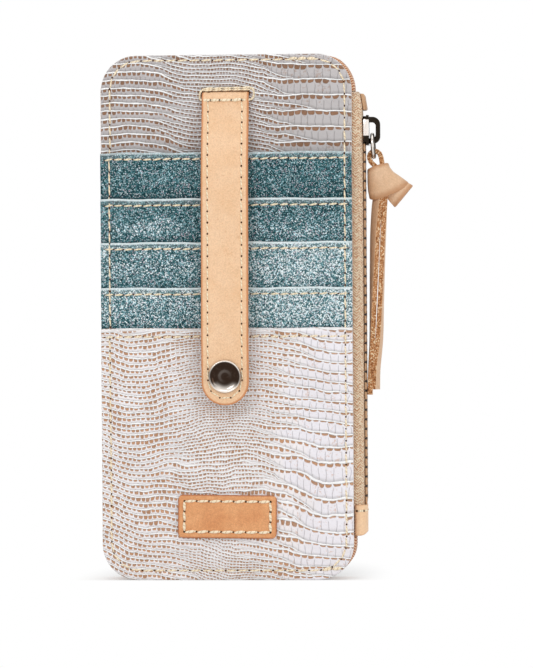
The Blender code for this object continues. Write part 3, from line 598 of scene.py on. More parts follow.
PLASTIC = zip_plastic()
GUNMETAL = dark_metal("dark gunmetal", (52, 46, 40), (104, 96, 88), (232, 224, 216))
# On the slider, a painted reflection lies across its side between heights 167 and 173.4.
SLIDER_METAL = dark_metal(
    "slider metal", (44, 38, 32), (88, 80, 72), (250, 243, 236), highlight_band=(167.0, 173.4)
)
RING_METAL = dark_metal("ring metal", (74, 66, 58), (150, 138, 126), (255, 250, 244), 0.1)
CAP_METAL = dark_metal("snap metal", (52, 39, 31), (112, 98, 86), (246, 236, 226), 0.1)

# %% [markdown]
# ## How a piece is made
# Every piece is drawn in millimetres, flat or turned, with Blender's mesh operators. Sheets start
# as one upright face. Its corners are rounded by a bevel of the points, its edge is rolled over by
# insets, and it is cut into strips so that it can bend.


# %% From a working mesh to a piece
def new_work():
    """A working mesh that can hold a painted rim and a flat layout."""
    work = bmesh.new()
    work.verts.layers.float.new("rim")
    work.loops.layers.uv.new("flat")
    return work


def rim_of(work):
    return work.verts.layers.float["rim"]


def to_mesh(work, name):
    """Ends a working mesh and keeps what it holds as a mesh of the scene."""
    mesh = bpy.data.meshes.new(name)
    work.to_mesh(mesh)
    work.free()
    return mesh


def add_object(name, data):
    added = bpy.data.objects.new(name, data)
    bpy.context.scene.collection.objects.link(added)
    return added


def as_piece(
    work, name, materials, replaces=(), body="organizer", sharp=35, thick=0, offset=-1
):
    """Turns a mesh drawn in millimetres into a piece that rides on a body."""
    place(work, size=(MM, MM, MM))
    for face in work.faces:
        face.smooth = True
    for edge in work.edges:
        edge.smooth = edge.calc_face_angle(0) < math.radians(sharp)
    piece = add_object(name, to_mesh(work, name))
    for material in materials:
        piece.data.materials.append(material)
    if body:
        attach(piece, body)
    if replaces:
        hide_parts(*replaces)
    if thick:
        wall = piece.modifiers.new("thickness", "SOLIDIFY")
        wall.thickness, wall.offset, wall.use_even_offset = thick * MM, offset, False
    return piece


# %% Small tools for a working mesh
def rotation(degrees, axis):
    return Matrix.Rotation(math.radians(degrees), 3, axis)


def place(work, size=None, turn=None, to=None, verts=None):
    """Stretches, then turns, then moves the whole mesh or some of its points."""
    verts = verts or work.verts
    if size is not None:
        bmesh.ops.scale(work, vec=size, verts=verts)
    if turn is not None:
        bmesh.ops.rotate(work, verts=verts, cent=(0, 0, 0), matrix=turn)
    if to is not None:
        bmesh.ops.translate(work, vec=to, verts=verts)


def only(kind, geometry):
    return [part for part in geometry if isinstance(part, kind)]


def bevel(work, geometry, width, segments, affect="EDGES", clamp=False):
    bmesh.ops.bevel(
        work, geom=geometry, offset=width, offset_type="OFFSET", segments=segments, profile=0.5,
        affect=affect, clamp_overlap=clamp, material=-1,
    )


def sharp_edges(work, degrees):
    return [e for e in work.edges if e.is_manifold and e.calc_face_angle() > math.radians(degrees)]


def draw_line(work, points):
    """Points joined by edges, ready for a sweep."""
    verts = [work.verts.new(point) for point in points]
    return verts + [work.edges.new(pair) for pair in pairwise(verts)]


def sweep(work, line, steps, move=(0, 0, 0), centre=(0, 0, 0), axis=(0, 1, 0), degrees=0):
    """Draws a line out in even steps, straight or round a centre, and returns its last place."""
    return bmesh.ops.spin(
        work, geom=line, steps=steps, dvec=Vector(move) / steps, cent=centre, axis=axis,
        angle=math.radians(degrees), use_duplicate=False,
    )["geom_last"]


def full_turn(work, section, steps):
    """Turns a section all the way round z."""
    bmesh.ops.spin(
        work, geom=section, cent=(0, 0, 0), axis=(0, 0, 1), angle=math.tau, steps=steps,
        use_merge=True,
    )
    bmesh.ops.remove_doubles(work, verts=work.verts, dist=1e-3)
    bmesh.ops.recalc_face_normals(work, faces=work.faces)


def outward(work, axis="y", side=-1):
    """Makes the faces look one way: the one farthest to a side looks out to that side."""
    bmesh.ops.remove_doubles(work, verts=work.verts, dist=1e-4)
    bmesh.ops.recalc_face_normals(work, faces=work.faces)
    i = "xyz".index(axis)
    farthest = max(work.faces, key=lambda face: side * face.calc_center_median()[i])
    if side * farthest.normal[i] < 0:
        bmesh.ops.reverse_faces(work, faces=work.faces)


def mirror(work):
    """Makes a part of the front wall into its twin at the back."""
    place(work, size=(1, -1, 1))
    bmesh.ops.reverse_faces(work, faces=work.faces)


# %% Sheets
def upright_face(width, height, low=0.0, bottom=0.0, top=0.0, steps=8):
    """One face that looks to the front, with its bottom and top corners rounded."""
    work = new_work()
    bmesh.ops.create_grid(work, x_segments=1, y_segments=1, size=0.5)
    place(work, turn=rotation(90, "X"))
    place(work, size=(width, 1, height), to=(0, 0, low + height / 2))
    for radius, edge in ((bottom, low), (top, low + height)):
        if radius:
            corners = [v for v in work.verts if abs(v.co.z - edge) < 1e-3]
            bevel(work, corners, radius, steps, "VERTICES")
    return work


def add_rings(work, steps, faces=None):
    """Insets a face ring by ring. Each step is a width and a rise."""
    middle = faces or work.faces[:]
    for width, rise in steps:
        bmesh.ops.inset_region(
            work, faces=middle, thickness=width, depth=rise, use_even_offset=True,
            use_boundary=True,
        )


def rolled(radius, steps=4):
    """The steps that roll an edge over in a quarter round."""
    turns = [math.radians(90 * i / steps) for i in range(steps + 1)]
    return [
        (radius * (math.cos(a) - math.cos(b)), radius * (math.sin(b) - math.sin(a)))
        for a, b in pairwise(turns)
    ]


def cut(work, point, normal, clear=False):
    bmesh.ops.bisect_plane(
        work, geom=work.verts[:] + work.edges[:] + work.faces[:], dist=1e-4, plane_co=point,
        plane_no=normal, clear_outer=clear,
    )


def cut_across(work, axis, places):
    """Cuts all faces along planes square to an axis."""
    normal = Vector([float(axis == letter) for letter in "xyz"])
    for place_on_axis in places:
        cut(work, normal * place_on_axis, normal)


def cut_top(work, height):
    """Cuts away what lies above a height."""
    cut(work, (0, 0, height), (0, 0, 1), clear=True)


def cut_out(work, inside):
    """Deletes the faces whose middle is inside, by a rule of x and z."""
    middles = [(face, face.calc_center_median()) for face in work.faces]
    gone = [face for face, middle in middles if inside(middle.x, middle.z)]
    bmesh.ops.delete(work, geom=gone, context="FACES")


def spread(low, high, step):
    """Evenly spaced places between two ends, about a step apart."""
    count = max(1, round((high - low) / step))
    return [low + (high - low) * i / count for i in range(1, count)]


def cut_evenly(work, axis, low, high, step):
    cut_across(work, axis, spread(low, high, step))


def draw_out(work, edges, move):
    """Extrudes edges and returns the new ones."""
    made = bmesh.ops.extrude_edge_only(work, edges=edges)["geom"]
    place(work, to=move, verts=only(bmesh.types.BMVert, made))
    return only(bmesh.types.BMEdge, made)


def turn_edge(work, top, radius, length, steps=5):
    """Folds a sheet's upper edge over to the back and down, as a hem."""
    edges = [
        e for e in work.edges
        if e.is_boundary and all(abs(v.co.z - top) < 1e-3 for v in e.verts)
    ]
    verts = list({v for e in edges for v in e.verts})
    ends = sweep(
        work, verts + edges, steps, centre=(0, radius, top), axis=(1, 0, 0), degrees=-180
    )
    edges = only(bmesh.types.BMEdge, ends)
    for _ in range(2):
        edges = draw_out(work, edges, (0, 0, -length / 2))


def keep_flat_map(work, across=lambda point: point.x):
    """Keeps the sheet's flat layout, in millimetres, for patterns that follow the sheet."""
    layer = work.loops.layers.uv["flat"]
    for face in work.faces:
        for loop in face.loops:
            loop[layer].uv = (across(loop.vert.co), loop.vert.co.z)


# %% [markdown]
# ## Where the surfaces lie
# The walls stand in layers, as in the CAD model. The front of each layer is a short rule of x and
# z, so that thread, patch and folds can all ask for the same surface. The slots lean out like
# shingles. Near the sides the seam presses every layer back towards the wall.

# %% Heights and depths of the layers
WIDTH, HEIGHT, CORNER = 95.0, 198.0, 13.5
HALF = WIDTH / 2
PANEL_FRONT = 9.4
POCKET_BACK, POCKET_THICK = 9.7, 1.2
SLOT_FRONT = 10.3
SLOT_TOPS = (160.9, 143.5, 127.1, 110.0)
SLOT_LEAN, SLOT_DEPTH, SLOT_BAND = 0.0579, 50.0, 19.6
POCKET_TOP, POCKET_FLAT, POCKET_LEAN = 94.0, 34.0, 0.0612
PRESS_FROM, PRESS_TO = 40.5, 47.0
SEAM = dict(left=-44.0, right=44.8, low=3.6, high=195.9, radius=10.5)
HEM_SEAM = 2.35
SNAP_HEIGHT = 77.1


def smooth(value, low, high):
    t = min(1.0, max(0.0, (value - low) / (high - low)))
    return t * t * (3 - 2 * t)


def press(x):
    """How far a spot is pressed back by the side seams, from 0 to 1."""
    return smooth(abs(x), PRESS_FROM, PRESS_TO)


def seam_distance(x, z):
    """How far a spot is inside the seam that runs round the wall. It is negative outside it."""
    half_x = (SEAM["right"] - SEAM["left"]) / 2 - SEAM["radius"]
    half_z = (SEAM["high"] - SEAM["low"]) / 2 - SEAM["radius"]
    dx = abs(x - (SEAM["left"] + SEAM["right"]) / 2) - half_x
    dz = abs(z - (SEAM["low"] + SEAM["high"]) / 2) - half_z
    beyond = math.hypot(max(dx, 0), max(dz, 0)) + min(max(dx, dz), 0)
    return SEAM["radius"] - beyond


def dip(distance, depth, width):
    """The groove that a tight row of stitches pulls into leather."""
    return depth * math.exp(-((distance / width) ** 2))


def panel_out(x, z):
    inside = seam_distance(x, z)
    plump = 0.22 * (1 - math.exp(-((max(inside, 0) / 6) ** 2)))
    return PANEL_FRONT + plump - dip(inside, 0.28, 0.7)


def slot_out(top, x, z):
    """The front of a card slot's sheet."""
    lean = SLOT_LEAN * (z - top + SLOT_DEPTH)
    pressed = SLOT_LEAN * (SLOT_DEPTH - SLOT_BAND) * press(x)
    wave = 0.12 * math.sin(0.11 * x + top) * smooth(z, top - 14, top)
    hem = 0.1 * smooth(z, top - 1.6, top - 0.8) * (1 - smooth(z, top - 0.5, top))
    groove = dip(z - top + HEM_SEAM, 0.12, 0.5)
    return SLOT_FRONT + lean - pressed + wave * (1 - press(x)) + hem - groove


def pocket_out(x, z):
    rise = max(0.0, z - POCKET_FLAT)
    pressed = rise * (POCKET_LEAN - 0.0167) * press(x)
    hem = 0.1 * smooth(z, POCKET_TOP - 1.7, POCKET_TOP - 0.9)
    groove = dip(seam_distance(x, z), 0.3, 0.7) + dip(z - POCKET_TOP + 2.3, 0.18, 0.5)
    return POCKET_BACK + POCKET_THICK + rise * POCKET_LEAN - pressed + hem - groove


def front_out(x, z):
    """How far out the front-most layer stands."""
    if z <= POCKET_TOP:
        return pocket_out(x, z)
    for top in reversed(SLOT_TOPS):
        if z <= top:
            return slot_out(top, x, z)
    return panel_out(x, z)


print(f"front at the snap: {pocket_out(0, SNAP_HEIGHT):.2f} mm,", end=" ")
print(f"at the first slot: {slot_out(SLOT_TOPS[0], 0, 160):.2f} mm")

# %% [markdown]
# ## Front and back walls
# Each wall is cut leather whose edge is rolled back over the board behind it, which closes the
# wall's side. The rings near the edge let the seam sink in. The front wall has the slit that the
# strap is tucked into, and the back wall is plain.

# %% Leather walls
EDGE_ROLL = 0.9
RIM_BACK = 7.0
SLIT_HALF, SLIT_LOW, SLIT_HIGH = 9.15, 182.6, 184.9


def leather_wall(name, node, front):
    work = upright_face(WIDTH, HEIGHT, bottom=CORNER, top=CORNER, steps=10)
    border = [e for e in work.edges if e.is_boundary]
    draw_out(work, border, (0, PANEL_FRONT - EDGE_ROLL - RIM_BACK, 0))
    wall = [f for f in work.faces if abs(f.normal.y) > 0.9]
    add_rings(work, rolled(EDGE_ROLL) + [(0.6, 0.0)] * 9, wall)
    cut_evenly(work, "x", -HALF, HALF, 5)
    cut_evenly(work, "z", 0, HEIGHT, 5)
    if front:
        cut_across(work, "x", (-SLIT_HALF, SLIT_HALF))
        cut_across(work, "z", (SLIT_LOW, SLIT_HIGH))
        cut_out(work, lambda x, z: abs(x) < SLIT_HALF and SLIT_LOW < z < SLIT_HIGH)
    rim = rim_of(work)
    for v in work.verts:
        # The rolled edge is painted for a painted highlight in the hide's finish.
        v[rim] = smooth(v.co.y, -0.75, 0.0)
        v.co.y += EDGE_ROLL - panel_out(v.co.x, v.co.z)
    outward(work)
    if not front:
        mirror(work)
    as_piece(work, name, [SHADED_PANEL_PEARL], [node], thick=1.1)


leather_wall("front_wall", "front_panel", True)
leather_wall("back_wall", "back_panel", False)

# %% [markdown]
# ## Card slots
# A slot is a T of glitter sheet: its wide band shows, and its stem runs down behind the slots
# below, so that the layers don't stack up at the sides. Its upper edge is folded over and sewn.

# %% Four slots
STEM_HALF = 40.0
# How strong the painted highlight on each slot's folded top edge is.
FOLD_HIGHLIGHT = (0.45, 0.75, 0.75, 0.75)


def card_slot(index, top):
    low, shoulder = top - SLOT_DEPTH, top - SLOT_BAND
    next_top = (*SLOT_TOPS, POCKET_TOP)[index]
    work = upright_face(WIDTH, SLOT_DEPTH, low)
    cut_across(work, "x", (-STEM_HALF, STEM_HALF))
    cut_across(work, "z", (shoulder,))
    cut_out(work, lambda x, z: abs(x) > STEM_HALF and z < shoulder)
    cut_evenly(work, "x", -STEM_HALF, STEM_HALF, 4)
    for side in (-1, 1):
        cut_across(work, "x", [side * x for x in spread(STEM_HALF, HALF, 1.2)])
    cut_evenly(work, "z", low, top - 4, 4)
    cut_evenly(work, "z", top - 4, top, 0.4)
    turn_edge(work, top, 0.17, 5)
    outward(work)
    rim = rim_of(work)
    shade = work.verts.layers.float.new("shade")
    fold_highlight = FOLD_HIGHLIGHT[index - 1]
    for v in work.verts:
        x, z = v.co.x, v.co.z
        # Painted highlight on the folded top edge with a faint lighter band below it, and painted shade just
        # above the next slot's edge.
        v[rim] = 0.1 * smooth(z, top - 2.2, top - 1.8) + fold_highlight * smooth(z, top - 0.8, top - 0.4)
        v[shade] = 1 - smooth(z, next_top + 0.5, next_top + 4)
        ripple = 0.14 * math.sin(0.19 * x + index * 2.1) + 0.08 * math.sin(0.47 * x + index)
        v.co.y -= slot_out(top, x, min(z, top))
        v.co.z += ripple * smooth(z, top - 4, top)
    node = f"card_pocket_{index}"
    as_piece(work, f"card_slot_{index}", [GLITTER], [node], thick=0.3)


for index, top in enumerate(SLOT_TOPS, 1):
    card_slot(index, top)
print("slots:", SLOT_TOPS)

# %% [markdown]
# ## Lower pocket
# The fifth pocket is cut from the same hide as the wall. It is sewn down at its sides and bottom,
# stands out over the slots' stems, and has a hem at its mouth.


# %% The pocket
def lower_pocket():
    roll, spare = 0.6, 20
    work = upright_face(WIDTH, POCKET_TOP + spare, bottom=CORNER, steps=10)
    add_rings(work, rolled(roll, 3) + [(0.6, 0.0)] * 10)
    cut_top(work, POCKET_TOP)
    cut_evenly(work, "x", -HALF, HALF, 4)
    cut_evenly(work, "z", 0, POCKET_TOP - 5, 4)
    cut_evenly(work, "z", POCKET_TOP - 5, POCKET_TOP, 0.45)
    turn_edge(work, POCKET_TOP, 0.36, 6)
    outward(work)
    rim = rim_of(work)
    for v in work.verts:
        x, y, z = v.co
        # The hem's top and the rolled edges are painted for a painted highlight.
        edge = max(smooth(z, POCKET_TOP - 0.4, POCKET_TOP), 1 - smooth(-y, 0, 0.5))
        v[rim] = 0 if y > 0 else edge
        v.co.y -= pocket_out(x, min(z, POCKET_TOP)) - roll
        v.co.z += 0.12 * math.sin(0.17 * x + 1) * smooth(z, POCKET_TOP - 4, POCKET_TOP)
    nodes = ["lower_pocket"]
    as_piece(work, "pocket_front", [POCKET_PEARL], nodes, thick=0.7)


lower_pocket()

# %% [markdown]
# ## Patch
# A small tag of thick tanned leather, its edge burnished round, sewn on all four sides. Its middle
# is left bare.

# %% The patch
PATCH_X, PATCH_Z = 37.3 / 2, 16.3 / 2
PATCH_PLACE = Vector((0, -12.3, 23.9))
PATCH_SEAM = 2.4


def patch_spot(x, z):
    """From the patch's own width and height to a place on its front."""
    return rotation(0.7, "Y") @ Vector((x, 0, z)) + PATCH_PLACE


def leather_patch():
    roll = 0.55
    work = upright_face(2 * PATCH_X, 2 * PATCH_Z, -PATCH_Z, 2, 2, steps=6)
    add_rings(work, rolled(roll))
    cut_evenly(work, "x", 1 - PATCH_X, PATCH_X - 1, 0.6)
    cut_evenly(work, "z", 1 - PATCH_Z, PATCH_Z - 1, 0.6)
    rim = rim_of(work)
    for v in work.verts:
        x, y, z = v.co
        edge = min(PATCH_X - abs(x), PATCH_Z - abs(z))
        v[rim] = 1 - smooth(edge, 0, 0.9)
        v.co = patch_spot(x, z) + Vector((0, y + roll + dip(edge - PATCH_SEAM, 0.2, 0.55), 0))
    nodes = ["label_patch"]
    as_piece(work, "sewn_patch", [PATCH_LEATHER], nodes, thick=1.0)


leather_patch()

# %% [markdown]
# ## Courses: laying a flat strip along a curve
# The strap and the pull are flat strips that bend. Each is made flat, with its length upright, and
# then laid along a course: a smooth line that knows its side and its back at every length.


# %% A course
def reach_along(points):
    """How far along a line each of its points is."""
    return [0.0, *accumulate((b - a).length for a, b in pairwise(points))]


class Course:
    """A smooth line through points, with a twist in degrees at each of them."""

    def __init__(self, points, side=(1, 0, 0), twists=None, steps=16):
        twists = twists or [0.0] * len(points)
        knots = [Vector((*p, twist)) for p, twist in zip(points, twists)]
        gaps = [max(1e-6, (b.xyz - a.xyz).length) for a, b in pairwise(knots)]
        straight = [(b - a) / gap for (a, b), gap in zip(pairwise(knots), gaps)]
        slopes = [straight[0]]
        for i in range(1, len(gaps)):
            near, far = gaps[i - 1], gaps[i]
            slopes.append((straight[i - 1] * far + straight[i] * near) / (far + near))
        slopes.append(straight[-1])
        line = []
        for i, gap in enumerate(gaps):
            for t in (k / steps for k in range(steps)):
                line.append(
                    knots[i] * (2 * t**3 - 3 * t**2 + 1) + slopes[i] * gap * (t**3 - 2 * t**2 + t)
                    + knots[i + 1] * (3 * t**2 - 2 * t**3) + slopes[i + 1] * gap * (t**3 - t**2)
                )
        line.append(knots[-1])
        self.spots, self.twists = [p.xyz for p in line], [p.w for p in line]
        self.reach = reach_along(self.spots)
        self.length = self.reach[-1]
        self.side = Vector(side)

    def at(self, length):
        """The place, the side and the front of the strip at a length along it."""
        last = len(self.spots) - 1
        i = min(last - 1, max(0, bisect.bisect_right(self.reach, length) - 1))
        t = (length - self.reach[i]) / (self.reach[i + 1] - self.reach[i])
        inside = min(1, max(0, t))
        spot = self.spots[i].lerp(self.spots[i + 1], t)
        before = (self.spots[i + 1] - self.spots[max(i - 1, 0)]).normalized()
        after = (self.spots[min(i + 2, last)] - self.spots[i]).normalized()
        way = before.lerp(after, inside).normalized()
        twist = self.twists[i] + (self.twists[i + 1] - self.twists[i]) * inside
        side = rotation(twist, way) @ self.side
        side = (side - way * side.dot(way)).normalized()
        return spot, side, side.cross(way).normalized()

    def spot(self, x, length, out=0.0):
        spot, side, front = self.at(length)
        return spot + side * x + front * out

    def length_at(self, z):
        """The length at which the course is nearest to a height."""
        nearest = min(range(len(self.spots)), key=lambda i: abs(self.spots[i].z - z))
        return self.reach[nearest]


def lay_along(work, course):
    """Bends a flat upright strip: x goes to the side, z along the course, and -y to the front."""
    for v in work.verts:
        v.co = course.spot(v.co.x, v.co.z, -v.co.y)


# %% [markdown]
# ## Strap
# The strap is two plies sewn face to face. It is held by a snap at its tip and by a box of
# stitches at its top, where the front ply turns in through the slit and lies behind the wall. The
# strap lifts at that seam, so both plies are blended from the wall to the strap there. Their
# sizes come from the CAD model's own strap.

# %% Strap plies
STRAP_HALF = 17.7 / 2
STRAP_TIP = 66.1
STRAP_SEAM = 2.45
STRAP_LINE = [
    (-15.30, 60.0), (-15.77, STRAP_TIP), (-16.44, SNAP_HEIGHT), (-16.81, 83.2), (-17.04, 86.9),
    (-15.72, 123.9), (-13.80, 160.9), (-11.45, 170.95), (-9.75, 180.0), (-9.72, 182.3),
]
TURNED_IN = [
    (-12.35, 171.6), (-11.05, 179.9), (-10.95, 181.0), (-10.45, 182.15), (-9.4, 182.65),
    (-8.3, 182.8), (-7.5, 183.6), (-7.2, 185.0), (-7.2, 190.8),
]
STRAP_COURSE = Course([(0, y, z) for y, z in STRAP_LINE])
TIP_AT = STRAP_COURSE.length_at(STRAP_TIP)
FRONT_PLY_COURSE = Course(
    [STRAP_COURSE.spot(0, s, 1.3) for s in range(0, 106, 8)] + [(0, y, z) for y, z in TURNED_IN]
)
HINGE_AT = ((0, -11, 181.7), (0, -12.4, 178.3))


def strap_edge(x, length):
    """How far a spot is from the strap's edge."""
    below = STRAP_HALF - length
    return STRAP_HALF - (math.hypot(x, below) if below > 0 else abs(x))


def strap_ply(name, course, thickness, nodes, front):
    """A ply from the tip to the course's end. The front one is grooved, and thinned where hid."""
    roll, spare = 0.4, 30
    end = course.length - TIP_AT
    work = upright_face(2 * STRAP_HALF, end + spare, bottom=STRAP_HALF - 0.2, steps=12)
    add_rings(work, rolled(roll, 3))
    cut_top(work, end)
    cut_evenly(work, "x", 0.6 - STRAP_HALF, STRAP_HALF - 0.6, 0.55)
    for low, high, step in ((0.6, 9, 0.55), (9, end - 18, 2.2), (end - 18, end, 0.6)):
        cut_evenly(work, "z", low, high, step)
    rim = rim_of(work)
    for v in work.verts:
        edge = strap_edge(v.co.x, v.co.z)
        v[rim] = (1 - smooth(edge, 0.1, 1.2)) * (1 if front else 0.6)
        v.co.y += roll + (dip(edge - STRAP_SEAM, 0.2, 0.5) if front else 0)
    outward(work)
    keep_flat_map(work)
    bmesh.ops.solidify(work, geom=work.faces[:], thickness=thickness)
    bmesh.ops.recalc_face_normals(work, faces=work.faces)
    for v in work.verts:
        thin = 1 - 0.36 * smooth(v.co.z, end - 9, end - 6) if front else 1
        v.co.y = (v.co.y - thickness) * thin
        v.co.z += TIP_AT
    lay_along(work, course)
    piece = as_piece(work, name, [STRAP_LEATHER], nodes, body=None)
    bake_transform(piece, "organizer", "strap", *HINGE_AT)


strap_ply("strap_back", STRAP_COURSE, 1.0, ["strap_back_ply"], False)
strap_ply("strap_front", FRONT_PLY_COURSE, 1.2, ["strap_front_ply", "strap_root"], True)
print(f"strap: {FRONT_PLY_COURSE.length - TIP_AT:.1f} mm of leather")

# %% [markdown]
# ## Snap
# The cap is pressed from sheet metal with a rolled rim and a dished middle. It is turned from its
# profile about the snap's axis. The three hidden parts keep their CAD shape with eased edges.


# %% Turned parts and eased copies
def eased(node, name, material, body="organizer", edge=0.12, segments=2):
    """A merged copy of a CAD node with its edges eased, which stands for the node."""
    work = bmesh.new()
    work.from_mesh(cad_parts[node].data)
    place(work, size=(1 / MM,) * 3)
    bmesh.ops.remove_doubles(work, verts=work.verts, dist=1e-3)
    flat = math.radians(0.5)
    bmesh.ops.dissolve_limit(work, angle_limit=flat, verts=work.verts, edges=work.edges)
    bevel(work, sharp_edges(work, 35), edge, segments, clamp=True)
    return as_piece(work, name, [material], [node], body, sharp=50)


SNAP_SEAT = Vector((0, -pocket_out(0, SNAP_HEIGHT), SNAP_HEIGHT))
SNAP_LEAN = 90 + math.degrees(math.atan(POCKET_LEAN))
CAP_HIGH, CAP_BASE, CAP_RIM, CAP_FOOT = 6.9, 5.55, 6.1, (1.4, 2.6)
# Each pair is a radius and how far the cap lies below its top there.
CAP_FACE = [
    (0, 1.0), (1.3, 1.0), (1.7, 0.96), (2.3, 0.95), (2.7, 1.01), (3.3, 1.0), (3.9, 0.94),
    (4.4, 0.84), (4.8, 0.68), (5.15, 0.42), (5.4, 0.18), (5.58, 0.05), (5.75, 0), (5.92, 0.08),
    (6.03, 0.25), (CAP_RIM, 0.55),
]


def cap_reflection_and_stamp(point):
    """A painted reflection on the rim and in a crescent below, and a faint stamp in the plating."""
    radius, turned = math.hypot(point.x, point.y), math.atan2(point.x, -point.y)
    sides = smooth(abs(math.cos(turned)), 0.25, 0.75)
    edge = smooth(radius, 5.5, 5.7) * (0.35 + 0.65 * sides)
    reflected_crescent = smooth(radius, 2.9, 5.5) * (1 - smooth(abs(turned), 0.45, 1.15))
    ring = smooth(radius, 1.2, 1.7) * (1 - smooth(radius, 2.3, 2.8))
    return max(edge, reflected_crescent, (0.04 + 0.04 * math.sin(turned - 2.2)) * ring)


def snap_cap():
    work = bmesh.new()
    rim = work.verts.layers.float.new("rim")
    foot, low = CAP_FOOT
    profile = [(radius, CAP_HIGH - down) for radius, down in CAP_FACE]
    profile += [(CAP_RIM, CAP_BASE + 0.1), (CAP_RIM - 0.15, CAP_BASE), (foot, CAP_BASE)]
    profile += [(foot, low), (0, low)]
    full_turn(work, draw_line(work, [(radius, 0, height) for radius, height in profile]), 48)
    for v in work.verts:
        if v.co.z >= CAP_HIGH - 1.1:
            # The cap's painted reflection and stamp go on its face.
            v[rim] = cap_reflection_and_stamp(v.co)
    place(work, turn=rotation(SNAP_LEAN, "X"), to=SNAP_SEAT)
    as_piece(work, "dished_cap", [CAP_METAL], ["snap_cap"], "strap", sharp=60)


snap_cap()
for part, body in (("socket", "strap"), ("stud", "organizer"), ("post", "organizer")):
    eased(f"snap_{part}", f"snap_{part}_eased", GUNMETAL, body)
print("snap seat:", [round(v, 1) for v in SNAP_SEAT])

# %% [markdown]
# ## Gusset, linings and boards
# A strip of leather joins the two walls round the left, the top and the bottom. It is folded in at
# both sides and sags a little between them. Cloth lines the pocket, and thin board keeps each
# wall flat.

# %% Gusset
GUSSET_HALF = 6.0
GUSSET_OUT = HALF - 0.5
ZIP_LOW, ZIP_HIGH = 17.0, 184.0
# From the front flange to the middle of the sag: how far in from the side, and how far out.
GUSSET_SECTION = [
    (5.0, -5.5), (1.5, -5.5), (0.4, -5.42), (0, -5.0), (0.25, -3.8), (0.65, -2.0), (0.8, 0)
]


def gusset():
    half = [(GUSSET_OUT - inward, y) for inward, y in GUSSET_SECTION]
    section = half + [(x, -y) for x, y in reversed(half[:-1])]
    work = new_work()
    line = draw_line(work, [(x, y, ZIP_LOW) for x, y in section])
    inner_x, low, high = HALF - CORNER, CORNER, HEIGHT - CORNER
    runs = [
        ((0, low - ZIP_LOW), (inner_x, low)), ((-2 * inner_x, 0), (-inner_x, low)),
        ((0, high - low), (-inner_x, high)), ((2 * inner_x, 0), (inner_x, high)),
        ((0, ZIP_HIGH - high), None),
    ]
    for (x, z), corner in runs:
        line = sweep(work, line, max(1, round(math.hypot(x, z) / 6)), move=(x, 0, z))
        if corner:
            line = sweep(work, line, 12, centre=(corner[0], 0, corner[1]), degrees=90)
    outward(work, "x", -1)
    rim = rim_of(work)
    for v in work.verts:
        v[rim] = smooth(abs(v.co.y), 4.6, 5.4)
        # The middle of the strip swells out, most at the upper right corner beside the zip.
        belly = 1 - (v.co.y / GUSSET_HALF) ** 2
        out_x, out_z = v.co.x - inner_x, v.co.z - high
        if out_x > 0 and out_z > -3 and math.hypot(out_x, out_z) > 11:
            way = Vector((out_x, 0, max(out_z, 0))).normalized()
            v.co += way * 1.9 * belly * smooth(way.x, 0.15, 0.6)
        elif abs(v.co.x) > 43:
            v.co.x += math.copysign(1.5 * belly * smooth(abs(v.co.x), 43, 46.5), v.co.x)
    look = [GUSSET_LEATHER]
    as_piece(work, "gusset_strip", look, ["gusset"], thick=1.0, offset=0)


gusset()

# %% Linings and boards
NOTCH_HALF, NOTCH_LOW = 9.45, 182.3


def inner_sheet(name, node, side, inset, inner, outer, material, sag=0.0):
    """A sheet inside a wall. Inner and outer are its depths, and side is -1 at the front."""
    roll = 0.12
    width, height = WIDTH - 2 * inset, HEIGHT - 2 * inset
    work = upright_face(width, height, inset, CORNER - inset, CORNER - inset)
    add_rings(work, rolled(roll, 2) + [(3.0, 0.0)] * 2)
    cut_evenly(work, "x", -width / 2, width / 2, 8)
    cut_evenly(work, "z", inset, HEIGHT - inset, 8)
    if node == "front_stiffener":
        cut_across(work, "x", (-NOTCH_HALF, NOTCH_HALF))
        cut_across(work, "z", (NOTCH_LOW,))
        cut_out(work, lambda x, z: abs(x) < NOTCH_HALF and z > NOTCH_LOW)
    for v in work.verts:
        x, _, z = v.co
        edge = min(width / 2 - abs(x), z - inset, HEIGHT - inset - z)
        ripple = math.sin(0.21 * x + 0.09 * z) * math.sin(0.13 * z)
        v.co.y += roll - outer + sag * ripple * smooth(edge, 2, 12)
    outward(work)
    if side > 0:
        mirror(work)
    piece = as_piece(work, name, [material], [node], thick=outer - inner - 0.02)


for side, word in ((-1, "front"), (1, "back")):
    inner_sheet(f"{word}_board", f"{word}_stiffener", side, 5.8, 7.2, 7.9, BOARD)
    inner_sheet(
        f"{word}_lining_cloth", f"{word}_lining", side, 0.5, 6.3, 6.9, LINING, 0.12
    )

# %% [markdown]
# ## Zip
# Two tapes are sewn into the walls and curve out to the chain. The moulded teeth, the stops and
# the slider keep their CAD shapes with eased edges, and a leather tab is folded round the lower
# end of the tapes.

# %% Zip tapes
TAPE_HALF = 0.3
TAPE_CURL = 2.5


def lean_in(z):
    """How far the top of the tape, which follows the wall's round corner, leans inward."""
    return 1.3 * max(0.0, (z - 176) / 8) ** 2


def raised(points, low, high, steps):
    """A sheet that stands on a line of places in x and y, and looks out to the right."""
    work = new_work()
    line = draw_line(work, [(x, y, low) for x, y in points])
    sweep(work, line, steps, move=(0, 0, high - low), axis=(0, 0, 1))
    outward(work, "x", 1)
    return work


